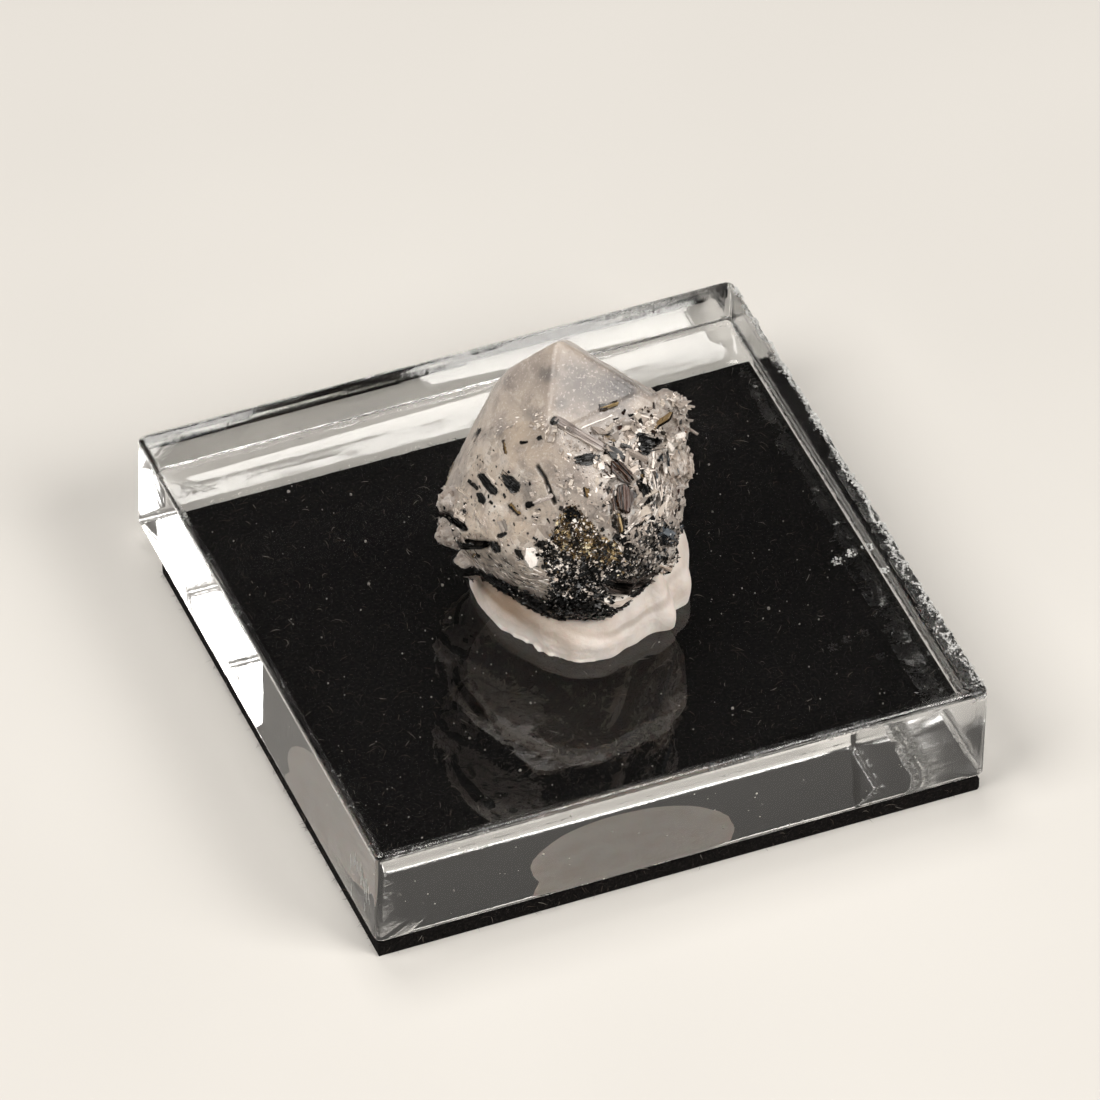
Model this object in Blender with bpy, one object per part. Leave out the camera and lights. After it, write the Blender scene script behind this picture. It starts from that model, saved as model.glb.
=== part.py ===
"""Phenakite crystal with black mica, held by putty on a clear acrylic square over black felt.

Metres, +Z up. The origin is the middle of the underside. +X runs along the front edge of the
square, +Y runs to its back.
"""
import math
import random

import bmesh
import bpy
from mathutils import Matrix, Vector

MM = 0.001

# Driving dimensions of the base
BLOCK_SIDE = 31.75 * MM
BLOCK_HEIGHT = 5.8 * MM
BLOCK_CORNER_RADIUS = 0.35 * MM
BLOCK_EDGE_RADIUS = 0.3 * MM
FELT_HEIGHT = 0.8 * MM
FELT_INSET = 0.2 * MM
FELT_BACK_INSET = 2.9 * MM
GAP = 0.25 * MM

# Driving dimensions of the crystal, whose facets are turned about its upright axis
CRYSTAL_Y = -1.3 * MM
CRYSTAL_LIFT = 5.9 * MM
CRYSTAL_TURN = -23.5
CAP_PROUD = 0.1

# Driving dimensions of the putty
PUTTY_X = 0.5 * MM
PUTTY_SIDES = 56
PUTTY_RINGS = 11
PUTTY_SHOULDER = 0.4
PUTTY_RISE = 0.9

# Heights that follow from them
BLOCK_FLOOR = FELT_HEIGHT + GAP
BLOCK_TOP = BLOCK_FLOOR + BLOCK_HEIGHT
CRYSTAL_CENTRE = Vector((0.0, CRYSTAL_Y, BLOCK_TOP + CRYSTAL_LIFT))
PUTTY_FLOOR = BLOCK_TOP + GAP

# Each facet: azimuth (0 is the crystal's front, + is to its right), elevation, distance in mm
FACETS = {
    "roof_front_left": (-61, 36.3, 4.92),
    "roof_front_right": (30, 47.4, 4.86),
    "roof_back_left": (-139, 39, 6.46),
    "roof_back_right": (138, 43, 6.05),
    "left_upper": (-83, 30, 5.32),
    "left_steep": (-84, 22, 5.34),
    "left_back": (-102, 20, 5.5),
    "front": (-12, 25, 4.35),
    "front_right": (67, 19, 5.05),
    "right_shoulder": (79, 48, 6.45),
    "right": (96, -8, 5.3),
    "back": (180, 6, 5.17),
    "back_left": (-145, 8, 5.45),
    "back_right": (140, 8, 5.6),
    "foot_front": (0, -38, 6.15),
    "foot_left": (-79, -27, 5.85),
    "foot_front_left": (-30, -13, 5.2),
    "foot_front_right": (54, -10, 5.15),
    "foot_left_corner": (-45, -42, 5.75),
    "foot_right_corner": (45, -45, 5.9),
    "foot_back": (180, -35, 5.5),
    "foot_back_left": (-120, -40, 5.7),
    "foot_back_right": (112, -26, 5.2),
    "underside": (0, -90, 4.75),
}
ROOF_FACETS = ("roof_front_left", "roof_front_right", "roof_back_left", "roof_back_right", "left_upper")
CAP_UNDERSIDE = (90, -85, -5.5)

# Rounded lobes that bulge out of the sides: right, forward, up and radius, all in mm
LOBES = (
    (-5.6, 0.5, -0.55, 0.85),
    (-5.45, 0.9, -2.1, 0.95),
    (-4.75, 1.9, -3.15, 0.85),
    (4.45, -1.0, 4.45, 0.95),
    (4.7, -0.8, 3.3, 0.8),
    (4.85, 0.0, 1.85, 0.8),
    (4.0, 1.4, -2.6, 1.1),
    (1.5, -4.4, 1.6, 1.3),
    (-2.6, -4.1, -0.9, 1.5),
)
LOBE_SEED = 3
LOBE_UNEVENNESS = 0.07

# Mica books, six-sided: azimuth, elevation, radius mm, thickness mm, tilt off the surface
MICA_BOOKS = (
    (36, 33, 0.8, 0.35, 25),
    (74, 47, 0.7, 0.5, 35),
    (47, 55, 0.6, 0.4, -30),
    (14, 59, 0.65, 0.4, 20),
    (52, 30, 0.5, 0.45, 40),
    (70, -11, 0.95, 0.5, 12),
    (-60, -30, 0.95, 0.55, 6),
    (-48, -34, 1.05, 0.6, -5),
    (-36, -36, 1.1, 0.6, 5),
    (-24, -36, 1.15, 0.6, -6),
    (-10, -36, 1.15, 0.6, 5),
    (4, -34, 1.1, 0.55, -6),
    (20, -33, 1.0, 0.5, 8),
    (38, -35, 0.95, 0.45, -6),
    (56, -36, 0.85, 0.4, 6),
)

BOOK_TAPER = 0.92
BOOK_SPIN = 0.7

# Bars and blades lying on the faces: azimuth and elevation of both ends, width mm
BARS = (
    (-35, 72, 37, 61, 0.42),
    (15, -9, 66, -33, 0.55),
    (-32, 52, -14, 34, 0.24),
    (-30, 28, -18, 37, 0.34),
    (85, 29, 47, 11, 0.4),
    (-63, 30, -60, 22, 0.34),
    (-48, 38, -42, 32, 0.4),
)
BAR_DEPTH = 0.8
BAR_LIFT = 0.12 * MM

# Rough ground of small grains low on the front: azimuth and elevation ranges and grain radii, mm
GRAIN_AZIMUTHS = (-22, 44)
GRAIN_ELEVATIONS = (-34, 27)
GRAIN_RADII = (0.32, 0.72)
GRAIN_COUNT = 46
GRAIN_SEED = 11
GRAIN_SINK = 0.55

# Pits in the front and left faces: azimuth, elevation, radius mm
PITS = (
    (-39, 22, 0.3),
    (-39, 6, 0.34),
    (-42, -2, 0.36),
    (-29, -2, 0.4),
    (-70, 17, 0.3),
    (-55, 8, 0.34),
    (12, 42, 0.3),
    (58, 14, 0.4),
    (88, 20, 0.42),
    (-12, 48, 0.26),
)
PIT_SEED = 17
PIT_LIFT = 0.35

# Putty plan: angle from +X and reach in mm, then angle and crown height in mm
PUTTY_REACH = (
    (0, 5.15), (45, 5.1), (90, 5.0), (135, 5.1), (160, 5.3), (180, 5.3), (205, 5.3),
    (234, 5.95), (246, 6.1), (261, 5.9), (275, 5.45), (290, 5.3), (300, 5.55), (309, 5.1),
    (320, 5.35), (335, 5.3),
)
PUTTY_CROWN = (
    (0, 4.6), (45, 4.2), (90, 3.6), (135, 3.4), (180, 3.0), (235, 2.7), (265, 2.6), (290, 2.9),
    (315, 3.8), (345, 4.7),
)
PUTTY_SWIRLS = 5
PUTTY_SWIRL_DEPTH = 0.09 * MM

# Chips out of the sawn right edge of the block
CHIP_COUNT = 13
CHIP_SEED = 5
CHIP_REACH = (0.45, 0.95)
CHIP_DEPTH = (0.3, 0.75)
CHIP_FRONT_GAIN = 0.9


def clear_scene():
    """Remove every object that the file opened with."""
    for item in list(bpy.data.objects):
        bpy.data.objects.remove(item, do_unlink=True)


def material(name, colour, roughness, transmission=0.0, ior=1.5):
    """A Principled material with one colour."""
    made = bpy.data.materials.new(name)
    made.use_nodes = True
    shader = made.node_tree.nodes["Principled BSDF"]
    shader.inputs["Base Color"].default_value = (*colour, 1.0)
    shader.inputs["Roughness"].default_value = roughness
    shader.inputs["Metallic"].default_value = 0.0
    shader.inputs["Transmission Weight"].default_value = transmission
    shader.inputs["IOR"].default_value = ior
    return made


def new_object(name, bm, finish=None):
    """Put a bmesh into a new object at the origin of the scene."""
    bmesh.ops.recalc_face_normals(bm, faces=bm.faces)
    mesh = bpy.data.meshes.new(name)
    bm.to_mesh(mesh)
    bm.free()
    made = bpy.data.objects.new(name, mesh)
    bpy.context.collection.objects.link(made)
    if finish is not None:
        mesh.materials.append(finish)
    return made


def boolean(target, tool, operation):
    """Join or cut the target with a tool, which is then only a guide."""
    cut = target.modifiers.new(tool.name, "BOOLEAN")
    cut.object = tool
    cut.operation = operation
    cut.solver = "EXACT"
    tool.display_type = "WIRE"
    tool.hide_render = True


def facing(azimuth, elevation):
    """Unit direction out of the crystal, in the scene's axes."""
    heading = math.radians(azimuth + CRYSTAL_TURN)
    tilt = math.radians(elevation)
    flat = math.cos(tilt)
    return Vector((math.sin(heading) * flat, -math.cos(heading) * flat, math.sin(tilt)))


def crystal_place(right, forward, up):
    """A point given along the crystal's own right, forward and up, in mm."""
    return CRYSTAL_CENTRE + MM * (right * facing(90, 0) + forward * facing(0, 0) + up * facing(0, 90))


def surface(azimuth, elevation):
    """Where a ray out of the crystal's centre leaves it, and the facet's normal there."""
    ray = facing(azimuth, elevation)
    reach = 1.0
    outward = ray
    for facet_azimuth, facet_elevation, distance in FACETS.values():
        normal = facing(facet_azimuth, facet_elevation)
        slope = normal.dot(ray)
        if slope > 0.0 and distance * MM / slope < reach:
            reach = distance * MM / slope
            outward = normal
    return CRYSTAL_CENTRE + ray * reach, outward


def cut_solid(facets, grow=0.0):
    """A cube cut by one plane for each facet; grow moves every plane out."""
    bm = bmesh.new()
    bmesh.ops.create_cube(bm, size=BLOCK_SIDE, matrix=Matrix.Translation(CRYSTAL_CENTRE))
    for azimuth, elevation, distance in facets:
        normal = facing(azimuth, elevation)
        cut = bmesh.ops.bisect_plane(
            bm,
            geom=bm.verts[:] + bm.edges[:] + bm.faces[:],
            plane_co=CRYSTAL_CENTRE + normal * (distance * MM + grow),
            plane_no=normal,
            dist=1e-7,
            clear_outer=True,
        )
        rim = [edge for edge in cut["geom_cut"] if isinstance(edge, bmesh.types.BMEdge)]
        if rim:
            bmesh.ops.contextual_create(bm, geom=rim)
    return bm


def cap_facets():
    """The main facets with the roof standing proud, ended by the cap's underside."""
    raised = []
    for name, (azimuth, elevation, distance) in FACETS.items():
        proud = CAP_PROUD if name in ROOF_FACETS else 0.0
        raised.append((azimuth, elevation, distance + proud))
    raised.append(CAP_UNDERSIDE)
    return raised


def rough_lump(radius, source, facets=15):
    """A cube cut by seeded planes into an irregular grain about the origin."""
    bm = bmesh.new()
    bmesh.ops.create_cube(bm, size=2.0 * radius)
    for index in range(facets):
        height = 1.0 - 2.0 * (index + 0.5) / facets
        heading = index * math.pi * (3.0 - math.sqrt(5.0)) + source.uniform(-0.2, 0.2)
        flat = math.sqrt(1.0 - height * height)
        normal = Vector((math.cos(heading) * flat, math.sin(heading) * flat, height))
        cut = bmesh.ops.bisect_plane(
            bm,
            geom=bm.verts[:] + bm.edges[:] + bm.faces[:],
            plane_co=normal * radius * source.uniform(0.78, 1.0),
            plane_no=normal,
            dist=1e-7,
            clear_outer=True,
        )
        rim = [edge for edge in cut["geom_cut"] if isinstance(edge, bmesh.types.BMEdge)]
        if rim:
            bmesh.ops.contextual_create(bm, geom=rim)
    return bm


def standing_on(point, normal, spin=0.0):
    """A matrix whose Z lies along a normal at a point, spun about it."""
    lean = normal.to_track_quat("Z", "Y").to_matrix().to_4x4()
    return Matrix.Translation(point) @ lean @ Matrix.Rotation(spin, 4, "Z")


def tool_and_socket(name, shape, place):
    """A tool that joins the crystal, and the same tool one gap larger that hollows the putty."""
    pair = []
    for ending, grow in (("", 0.0), ("_socket", GAP)):
        bm = shape(grow)
        bmesh.ops.transform(bm, matrix=place, verts=bm.verts)
        pair.append(new_object(name + ending, bm))
    return pair


def lobes():
    """Rounded, uneven bulges out of the sides of the crystal."""
    made = []
    for index, (right, forward, up, radius) in enumerate(LOBES):

        def shape(grow, index=index, radius=radius):
            source = random.Random(LOBE_SEED + index)
            bm = bmesh.new()
            bmesh.ops.create_icosphere(bm, subdivisions=2, radius=radius * MM + grow)
            for vertex in bm.verts:
                vertex.co *= 1.0 + source.uniform(-LOBE_UNEVENNESS, LOBE_UNEVENNESS)
            return bm

        place = Matrix.Translation(crystal_place(right, forward, up))
        made.append(tool_and_socket(f"lobe_{index}", shape, place))
    return made


def mica_books():
    """Six-sided plates of mica set into the faces."""
    made = []
    for index, (azimuth, elevation, radius, thickness, tilt) in enumerate(MICA_BOOKS):

        def shape(grow, radius=radius, thickness=thickness):
            bm = bmesh.new()
            bmesh.ops.create_cone(
                bm,
                cap_ends=True,
                segments=6,
                radius1=radius * MM + grow,
                radius2=BOOK_TAPER * radius * MM + grow,
                depth=thickness * MM + 2.0 * grow,
            )
            return bm

        point, normal = surface(azimuth, elevation)
        lean = Matrix.Rotation(math.radians(tilt), 4, "X")
        place = standing_on(point, normal, spin=BOOK_SPIN * index) @ lean
        made.append(tool_and_socket(f"mica_book_{index}", shape, place))
    return made


def bars():
    """Striated rods and thin blades that lie half sunk in the faces."""
    made = []
    for index, (azimuth_a, elevation_a, azimuth_b, elevation_b, width) in enumerate(BARS):
        start, _ = surface(azimuth_a, elevation_a)
        end, _ = surface(azimuth_b, elevation_b)
        middle = 0.5 * (start + end)
        along = (end - start).normalized()
        side = along.cross(middle - CRYSTAL_CENTRE).normalized()
        outward = side.cross(along)
        turn = Matrix((along, side, outward)).transposed().to_4x4()

        def shape(grow, length=(end - start).length, width=width * MM):
            bm = bmesh.new()
            size = (length + 2.0 * grow, width + 2.0 * grow, BAR_DEPTH * width + 2.0 * grow, 1.0)
            bmesh.ops.create_cube(bm, size=1.0, matrix=Matrix.Diagonal(size))
            return bm

        place = Matrix.Translation(middle + outward * BAR_LIFT) @ turn
        made.append(tool_and_socket(f"bar_{index}", shape, place))
    return made


def grains():
    """The rough ground of small grains low on the front."""
    source = random.Random(GRAIN_SEED)
    made = []
    for index in range(GRAIN_COUNT):
        point, normal = surface(source.uniform(*GRAIN_AZIMUTHS), source.uniform(*GRAIN_ELEVATIONS))
        radius = source.uniform(*GRAIN_RADII) * MM

        def shape(grow, index=index, radius=radius):
            return rough_lump(radius + grow, random.Random(GRAIN_SEED + index))

        place = standing_on(point - normal * GRAIN_SINK * radius, normal, spin=source.uniform(0.0, math.pi))
        made.append(tool_and_socket(f"grain_{index}", shape, place))
    return made


def pits():
    """Hollows where inclusions have fallen out of the faces."""
    source = random.Random(PIT_SEED)
    made = []
    for index, (azimuth, elevation, radius) in enumerate(PITS):
        point, normal = surface(azimuth, elevation)
        bm = rough_lump(radius * MM, source)
        place = standing_on(point + normal * PIT_LIFT * radius * MM, normal, spin=index)
        bmesh.ops.transform(bm, matrix=place, verts=bm.verts)
        made.append(new_object(f"pit_{index}", bm))
    return made


def make_crystal(additions):
    """The crystal with everything that grew together with it, as one solid."""
    finish = material("phenakite", (0.42, 0.40, 0.35), 0.3, transmission=0.4, ior=1.654)
    crystal = new_object("phenakite_crystal", cut_solid(FACETS.values()), finish)
    cap = new_object("roof_cap", cut_solid(cap_facets()))
    for tool in [cap] + [tool for tool, _ in additions]:
        boolean(crystal, tool, "UNION")
    for tool in pits():
        boolean(crystal, tool, "DIFFERENCE")
    return crystal


def around(table, angle):
    """Read a table of (angle, value) pairs round the circle, eased between its angles."""
    ring = list(table) + [(table[0][0] + 360.0, table[0][1])]
    for (low, start), (high, end) in zip(ring, ring[1:]):
        if low <= angle <= high:
            share = (angle - low) / (high - low)
            ease = share * share * (3.0 - 2.0 * share)
            return start + (end - start) * ease
    return table[0][1]


def putty_ring(step):
    """Points of one ring of the putty, from its foot (0) towards its crown (1)."""
    rise = 0.5 * math.pi * step
    points = []
    for index in range(PUTTY_SIDES):
        angle = 360.0 * index / PUTTY_SIDES
        turn = math.radians(angle)
        swirl = PUTTY_SWIRL_DEPTH * math.sin(math.tau * PUTTY_SWIRLS * step + 2.0 * turn)
        reach = around(PUTTY_REACH, angle) * MM * math.cos(rise) ** PUTTY_SHOULDER + swirl * step
        height = around(PUTTY_CROWN, angle) * MM * math.sin(rise) ** PUTTY_RISE
        points.append(
            (PUTTY_X + reach * math.cos(turn), CRYSTAL_Y + reach * math.sin(turn), PUTTY_FLOOR + height)
        )
    return points


def make_putty(additions):
    """A pressed lump of putty whose hollow holds the foot of the crystal."""
    bm = bmesh.new()
    rings = []
    for row in range(PUTTY_RINGS):
        ring = putty_ring(row / PUTTY_RINGS)
        rings.append([bm.verts.new(point) for point in ring])
    for lower, upper in zip(rings, rings[1:]):
        for index in range(PUTTY_SIDES):
            following = (index + 1) % PUTTY_SIDES
            bm.faces.new((lower[index], lower[following], upper[following], upper[index]))
    foot = bm.verts.new((PUTTY_X, CRYSTAL_Y, PUTTY_FLOOR))
    crown = bm.verts.new((PUTTY_X, CRYSTAL_Y, PUTTY_FLOOR + MM * max(height for _, height in PUTTY_CROWN)))
    for index in range(PUTTY_SIDES):
        following = (index + 1) % PUTTY_SIDES
        bm.faces.new((foot, rings[0][following], rings[0][index]))
        bm.faces.new((crown, rings[-1][index], rings[-1][following]))
    bmesh.ops.triangulate(bm, faces=bm.faces[:])
    putty = new_object("putty", bm, material("putty", (0.78, 0.72, 0.62), 0.55))
    socket = new_object("putty_socket", cut_solid(FACETS.values(), grow=GAP))
    boolean(putty, socket, "DIFFERENCE")
    for _, socket in additions:
        boolean(putty, socket, "DIFFERENCE")
    return putty


def slab(lowest, highest, corner_radius, edge_radius):
    """A slab between two opposite corners, with rounded upright corners and rims."""
    bm = bmesh.new()
    spread = highest - lowest
    size = Matrix.Diagonal((*spread, 1.0))
    bmesh.ops.create_cube(bm, size=1.0, matrix=Matrix.Translation(0.5 * (lowest + highest)) @ size)
    upright = [edge for edge in bm.edges if abs(edge.verts[0].co.z - edge.verts[1].co.z) > 0.5 * spread.z]
    bmesh.ops.bevel(bm, geom=upright, offset=corner_radius, segments=3, profile=0.5, affect="EDGES")
    if edge_radius > 0.0:
        rims = [edge for edge in bm.edges if abs(edge.verts[0].co.z - edge.verts[1].co.z) < 0.1 * spread.z]
        bmesh.ops.bevel(bm, geom=rims, offset=edge_radius, segments=2, profile=0.5, affect="EDGES")
    return bm


def make_block():
    """The clear acrylic square, with chips along the top of its sawn right side."""
    finish = material("clear_acrylic", (0.95, 0.95, 0.95), 0.03, transmission=1.0, ior=1.49)
    half = 0.5 * BLOCK_SIDE
    lowest = Vector((-half, -half, BLOCK_FLOOR))
    highest = Vector((half, half, BLOCK_TOP))
    body = slab(lowest, highest, BLOCK_CORNER_RADIUS, BLOCK_EDGE_RADIUS)
    block = new_object("acrylic_block", body, finish)
    source = random.Random(CHIP_SEED)
    run = BLOCK_SIDE - 4.0 * BLOCK_CORNER_RADIUS
    for index in range(CHIP_COUNT):
        middle = -0.5 * run + run * (index + source.uniform(0.3, 0.7)) / CHIP_COUNT
        length = source.uniform(0.7, 1.25) * run / CHIP_COUNT
        depth = source.uniform(*CHIP_DEPTH) * MM
        frontness = 0.5 - middle / run
        reach = source.uniform(*CHIP_REACH) * MM * (1.0 + CHIP_FRONT_GAIN * frontness)
        bm = bmesh.new()
        bmesh.ops.create_icosphere(bm, subdivisions=1, radius=1.0)
        size = Matrix.Diagonal((reach, 0.5 * length, depth, 1.0))
        place = Matrix.Translation((0.5 * BLOCK_SIDE + 0.1 * MM, middle, BLOCK_TOP + 0.08 * MM))
        spin = Matrix.Rotation(source.uniform(-0.3, 0.3), 4, "Z")
        bmesh.ops.transform(bm, matrix=place @ spin @ size, verts=bm.verts)
        boolean(block, new_object(f"chip_{index}", bm), "DIFFERENCE")
    return block


def make_felt():
    """The thin felt under the block, which stops short of the block's back edge."""
    finish = material("black_felt", (0.012, 0.011, 0.011), 0.95)
    half = 0.5 * BLOCK_SIDE
    lowest = Vector((FELT_INSET - half, FELT_INSET - half, 0.0))
    highest = Vector((half - FELT_INSET, half - FELT_BACK_INSET, FELT_HEIGHT))
    return new_object("felt_pad", slab(lowest, highest, BLOCK_CORNER_RADIUS, 0.0), finish)


clear_scene()
make_felt()
make_block()
grown_together = lobes() + mica_books() + bars() + grains()
make_putty(grown_together)
make_crystal(grown_together)
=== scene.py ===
"""Looks of a phenakite crystal with black mica, set in putty on a clear acrylic square over felt.

Lengths are millimetres in the row frame until a mesh is made, which takes them to metres.
"""

import logging
import math
from dataclasses import dataclass, field
from enum import Enum

import bpy
import numpy as np
from mathutils import Matrix, Vector


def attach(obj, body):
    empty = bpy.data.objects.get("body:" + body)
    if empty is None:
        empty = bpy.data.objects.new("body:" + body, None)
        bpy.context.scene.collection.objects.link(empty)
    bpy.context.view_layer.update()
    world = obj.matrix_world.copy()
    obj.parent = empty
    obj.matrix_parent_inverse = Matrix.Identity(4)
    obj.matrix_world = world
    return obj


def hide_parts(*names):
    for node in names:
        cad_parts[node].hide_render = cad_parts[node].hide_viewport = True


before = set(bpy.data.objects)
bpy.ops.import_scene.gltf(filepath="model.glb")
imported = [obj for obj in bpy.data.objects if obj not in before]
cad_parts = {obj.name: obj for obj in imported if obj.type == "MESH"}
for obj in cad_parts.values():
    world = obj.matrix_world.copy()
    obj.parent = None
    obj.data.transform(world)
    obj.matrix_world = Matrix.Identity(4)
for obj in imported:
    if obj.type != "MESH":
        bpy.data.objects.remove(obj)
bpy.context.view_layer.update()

MM = 0.001
BODY = "root"
LOG = logging.getLogger("phenakite")

# Heights and places shared with the solids
BLOCK_SIDE = 31.75
BLOCK_FLOOR = 1.05
BLOCK_TOP = 6.85
CRYSTAL_CENTRE = np.array([0.0, -1.3, 12.75])
CRYSTAL_TURN = -23.5
PUTTY_X = 0.5

Array = np.ndarray
Socket = bpy.types.NodeSocket
Piece = bpy.types.Object
Finish = bpy.types.Material
Draws = np.random.Generator
Term = Socket | float | str
Points = tuple[tuple[float, float], ...]


# Numbers and noise


def smoothstep(low: float, high: float, value: Array) -> Array:
    """Ease from 0 at low to 1 at high, as 3t^2 - 2t^3."""
    share = np.clip((value - low) / (high - low), 0.0, 1.0)
    return share * share * (3.0 - 2.0 * share)


def unit(vectors: Array) -> Array:
    """Vectors brought to length 1."""
    return vectors / np.maximum(np.linalg.norm(vectors, axis=-1, keepdims=True), 1e-12)


def lattice_value(corner: Array, seed: int) -> Array:
    """A repeatable random number from 0 to 1 for each whole-numbered lattice corner.

    Args:
        corner: whole numbers, (..., 3).
        seed: which random field to read.

    Returns:
        One number for each corner.
    """
    mixed = corner[..., 0] * 73856093 ^ corner[..., 1] * 19349663 ^ corner[..., 2] * 83492791
    mixed = (mixed ^ (seed * 2654435761)) & 0xFFFFFFFF
    mixed = ((mixed ^ (mixed >> 13)) * 1274126177) & 0xFFFFFFFF
    mixed = ((mixed ^ (mixed >> 15)) * 2246822519) & 0xFFFFFFFF
    return (mixed ^ (mixed >> 16)) / 4294967295.0


def value_noise(points: Array, cell: float, seed: int) -> Array:
    """Smooth noise from -1 to 1: lattice values blended by the eased place inside each cell.

    Args:
        points: places in mm, (..., 3).
        cell: side of one lattice cell, mm.
        seed: which random field to read.

    Returns:
        One number for each point.
    """
    scaled = points / cell
    base = np.floor(scaled).astype(np.int64)
    share = scaled - base
    share = share * share * (3.0 - 2.0 * share)
    total = np.zeros(points.shape[:-1])
    for step in np.ndindex(2, 2, 2):
        offset = np.array(step)
        weight = np.prod(np.where(offset == 1, share, 1.0 - share), axis=-1)
        total += weight * lattice_value(base + offset, seed)
    return 2.0 * total - 1.0


def fractal_noise(points: Array, cell: float, seed: int, octaves: int = 4) -> Array:
    """Octaves of value noise, each at half the cell and half the height of the one before."""
    total = np.zeros(points.shape[:-1])
    for octave in range(octaves):
        total += value_noise(points, cell / 2**octave, seed + octave) / 2**octave
    return total / (2.0 - 2.0 ** (1 - octaves))


@dataclass
class Cells:
    """What cell_noise finds for each point."""

    near: Array
    second: Array
    tone: Array
    slope: Array


def cell_noise(points: Array, cell: float, seed: int) -> Cells:
    """Broken ground of cells round jittered lattice points.

    Each point takes the distance to its nearest and second nearest seed point, a random tone
    that its cell shares, and its height over a plane that leans at random through the seed.

    Args:
        points: places in mm, (N, 3).
        cell: mean spacing of the seeds, mm.
        seed: which random field to read.

    Returns:
        Distances in cells, tones from 0 to 1 and slopes in cells.
    """
    scaled = points / cell
    base = np.floor(scaled).astype(np.int64)
    near = np.full(len(points), 9.0)
    second = np.full(len(points), 9.0)
    tone = np.zeros(len(points))
    slope = np.zeros(len(points))
    for step in np.ndindex(3, 3, 3):
        corner = base + np.array(step) - 1
        jitter = np.stack([lattice_value(corner, seed + axis) for axis in range(3)], axis=-1)
        lean = np.stack([lattice_value(corner, seed + 4 + axis) for axis in range(3)], axis=-1)
        offset = scaled - corner - jitter
        distance = np.linalg.norm(offset, axis=-1)
        closer = distance < near
        second = np.where(closer, near, np.minimum(second, distance))
        near = np.where(closer, distance, near)
        tone = np.where(closer, lattice_value(corner, seed + 8), tone)
        slope = np.where(closer, np.sum(offset * unit(2.0 * lean - 1.0), axis=-1), slope)
    return Cells(near, second, tone, slope)


def inside_outline(points: Array, outline: Array) -> Array:
    """Whether flat points lie inside a closed outline, by counting the sides to their right.

    Args:
        points: (N, 2).
        outline: corners in order, (M, 2).

    Returns:
        True for each point inside.
    """
    x, y = points[:, 0, None], points[:, 1, None]
    x0, y0 = outline[:, 0], outline[:, 1]
    x1, y1 = np.roll(x0, -1), np.roll(y0, -1)
    spans = (y0 > y) != (y1 > y)
    rise = np.where(y1 == y0, 1e-9, y1 - y0)
    return (np.sum(spans & (x < (x1 - x0) * (y - y0) / rise + x0), axis=1) % 2) == 1


def outline_points(outline: Array, count: int) -> Array:
    """Points spaced evenly along a closed outline, (count, 2)."""
    closed = np.vstack([outline, outline[:1]])
    steps = np.linalg.norm(np.diff(closed, axis=0), axis=1)
    marks = np.concatenate([[0.0], np.cumsum(steps)])
    wanted = np.linspace(0.0, marks[-1], count, endpoint=False)
    return np.stack([np.interp(wanted, marks, closed[:, axis]) for axis in range(2)], axis=1)


def round_trip(table: tuple[tuple[float, ...], ...], angles: Array, column: int = 1) -> Array:
    """Read one column of a table round the circle, by smooth steps between its angles."""
    values = np.array(table)
    order = np.argsort(values[:, 0])
    values = values[order]
    marks = np.concatenate([values[:, 0], [values[0, 0] + 360.0]])
    levels = np.concatenate([values[:, column], [values[0, column]]])
    wrapped = (angles - marks[0]) % 360.0 + marks[0]
    index = np.clip(np.searchsorted(marks, wrapped, side="right") - 1, 0, len(marks) - 2)
    share = (wrapped - marks[index]) / (marks[index + 1] - marks[index])
    ease = share * share * (3.0 - 2.0 * share)
    return levels[index] + (levels[index + 1] - levels[index]) * ease


# Meshes


def place_mesh(name: str, points: Array, faces: list[Array], finish: Finish, smooth: bool = True) -> Piece:
    """Make an object at the origin from arrays of points and faces.

    Args:
        name: the piece's name.
        points: places in mm, (N, 3).
        faces: arrays of corner numbers, one array for each number of corners.
        finish: its material.
        smooth: whether its faces are shaded smooth.

    Returns:
        The new object.
    """
    mesh = bpy.data.meshes.new(name)
    mesh.vertices.add(len(points))
    mesh.vertices.foreach_set("co", (points * MM).astype(np.float32).ravel())
    corners = np.concatenate([array.ravel() for array in faces]).astype(np.int32)
    totals = np.concatenate([np.full(len(array), array.shape[1]) for array in faces]).astype(np.int32)
    mesh.loops.add(len(corners))
    mesh.loops.foreach_set("vertex_index", corners)
    mesh.polygons.add(len(totals))
    mesh.polygons.foreach_set("loop_start", (np.cumsum(totals) - totals).astype(np.int32))
    mesh.polygons.foreach_set("loop_total", totals)
    mesh.polygons.foreach_set("use_smooth", np.full(len(totals), smooth))
    mesh.update(calc_edges=True)
    mesh.validate()
    mesh.materials.append(finish)
    made = bpy.data.objects.new(name, mesh)
    bpy.context.scene.collection.objects.link(made)
    return made


def paint(piece: Piece, name: str, values: Array) -> None:
    """Store one number for each of a piece's vertices under a name that its material reads."""
    layer = piece.data.attributes.new(name, "FLOAT", "POINT")
    layer.data.foreach_set("value", values.astype(np.float32).ravel())


def sheet_faces(rows: int, columns: int, ring: bool = False) -> Array:
    """Four-cornered faces of a grid whose columns close on themselves, and in a ring its rows too."""
    row, column = np.meshgrid(np.arange(rows if ring else rows - 1), np.arange(columns), indexing="ij")
    above, following = (row + 1) % rows, (column + 1) % columns
    quads = [row * columns + column, row * columns + following]
    quads += [above * columns + following, above * columns + column]
    return np.stack(quads, axis=-1).reshape(-1, 4)


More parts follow.
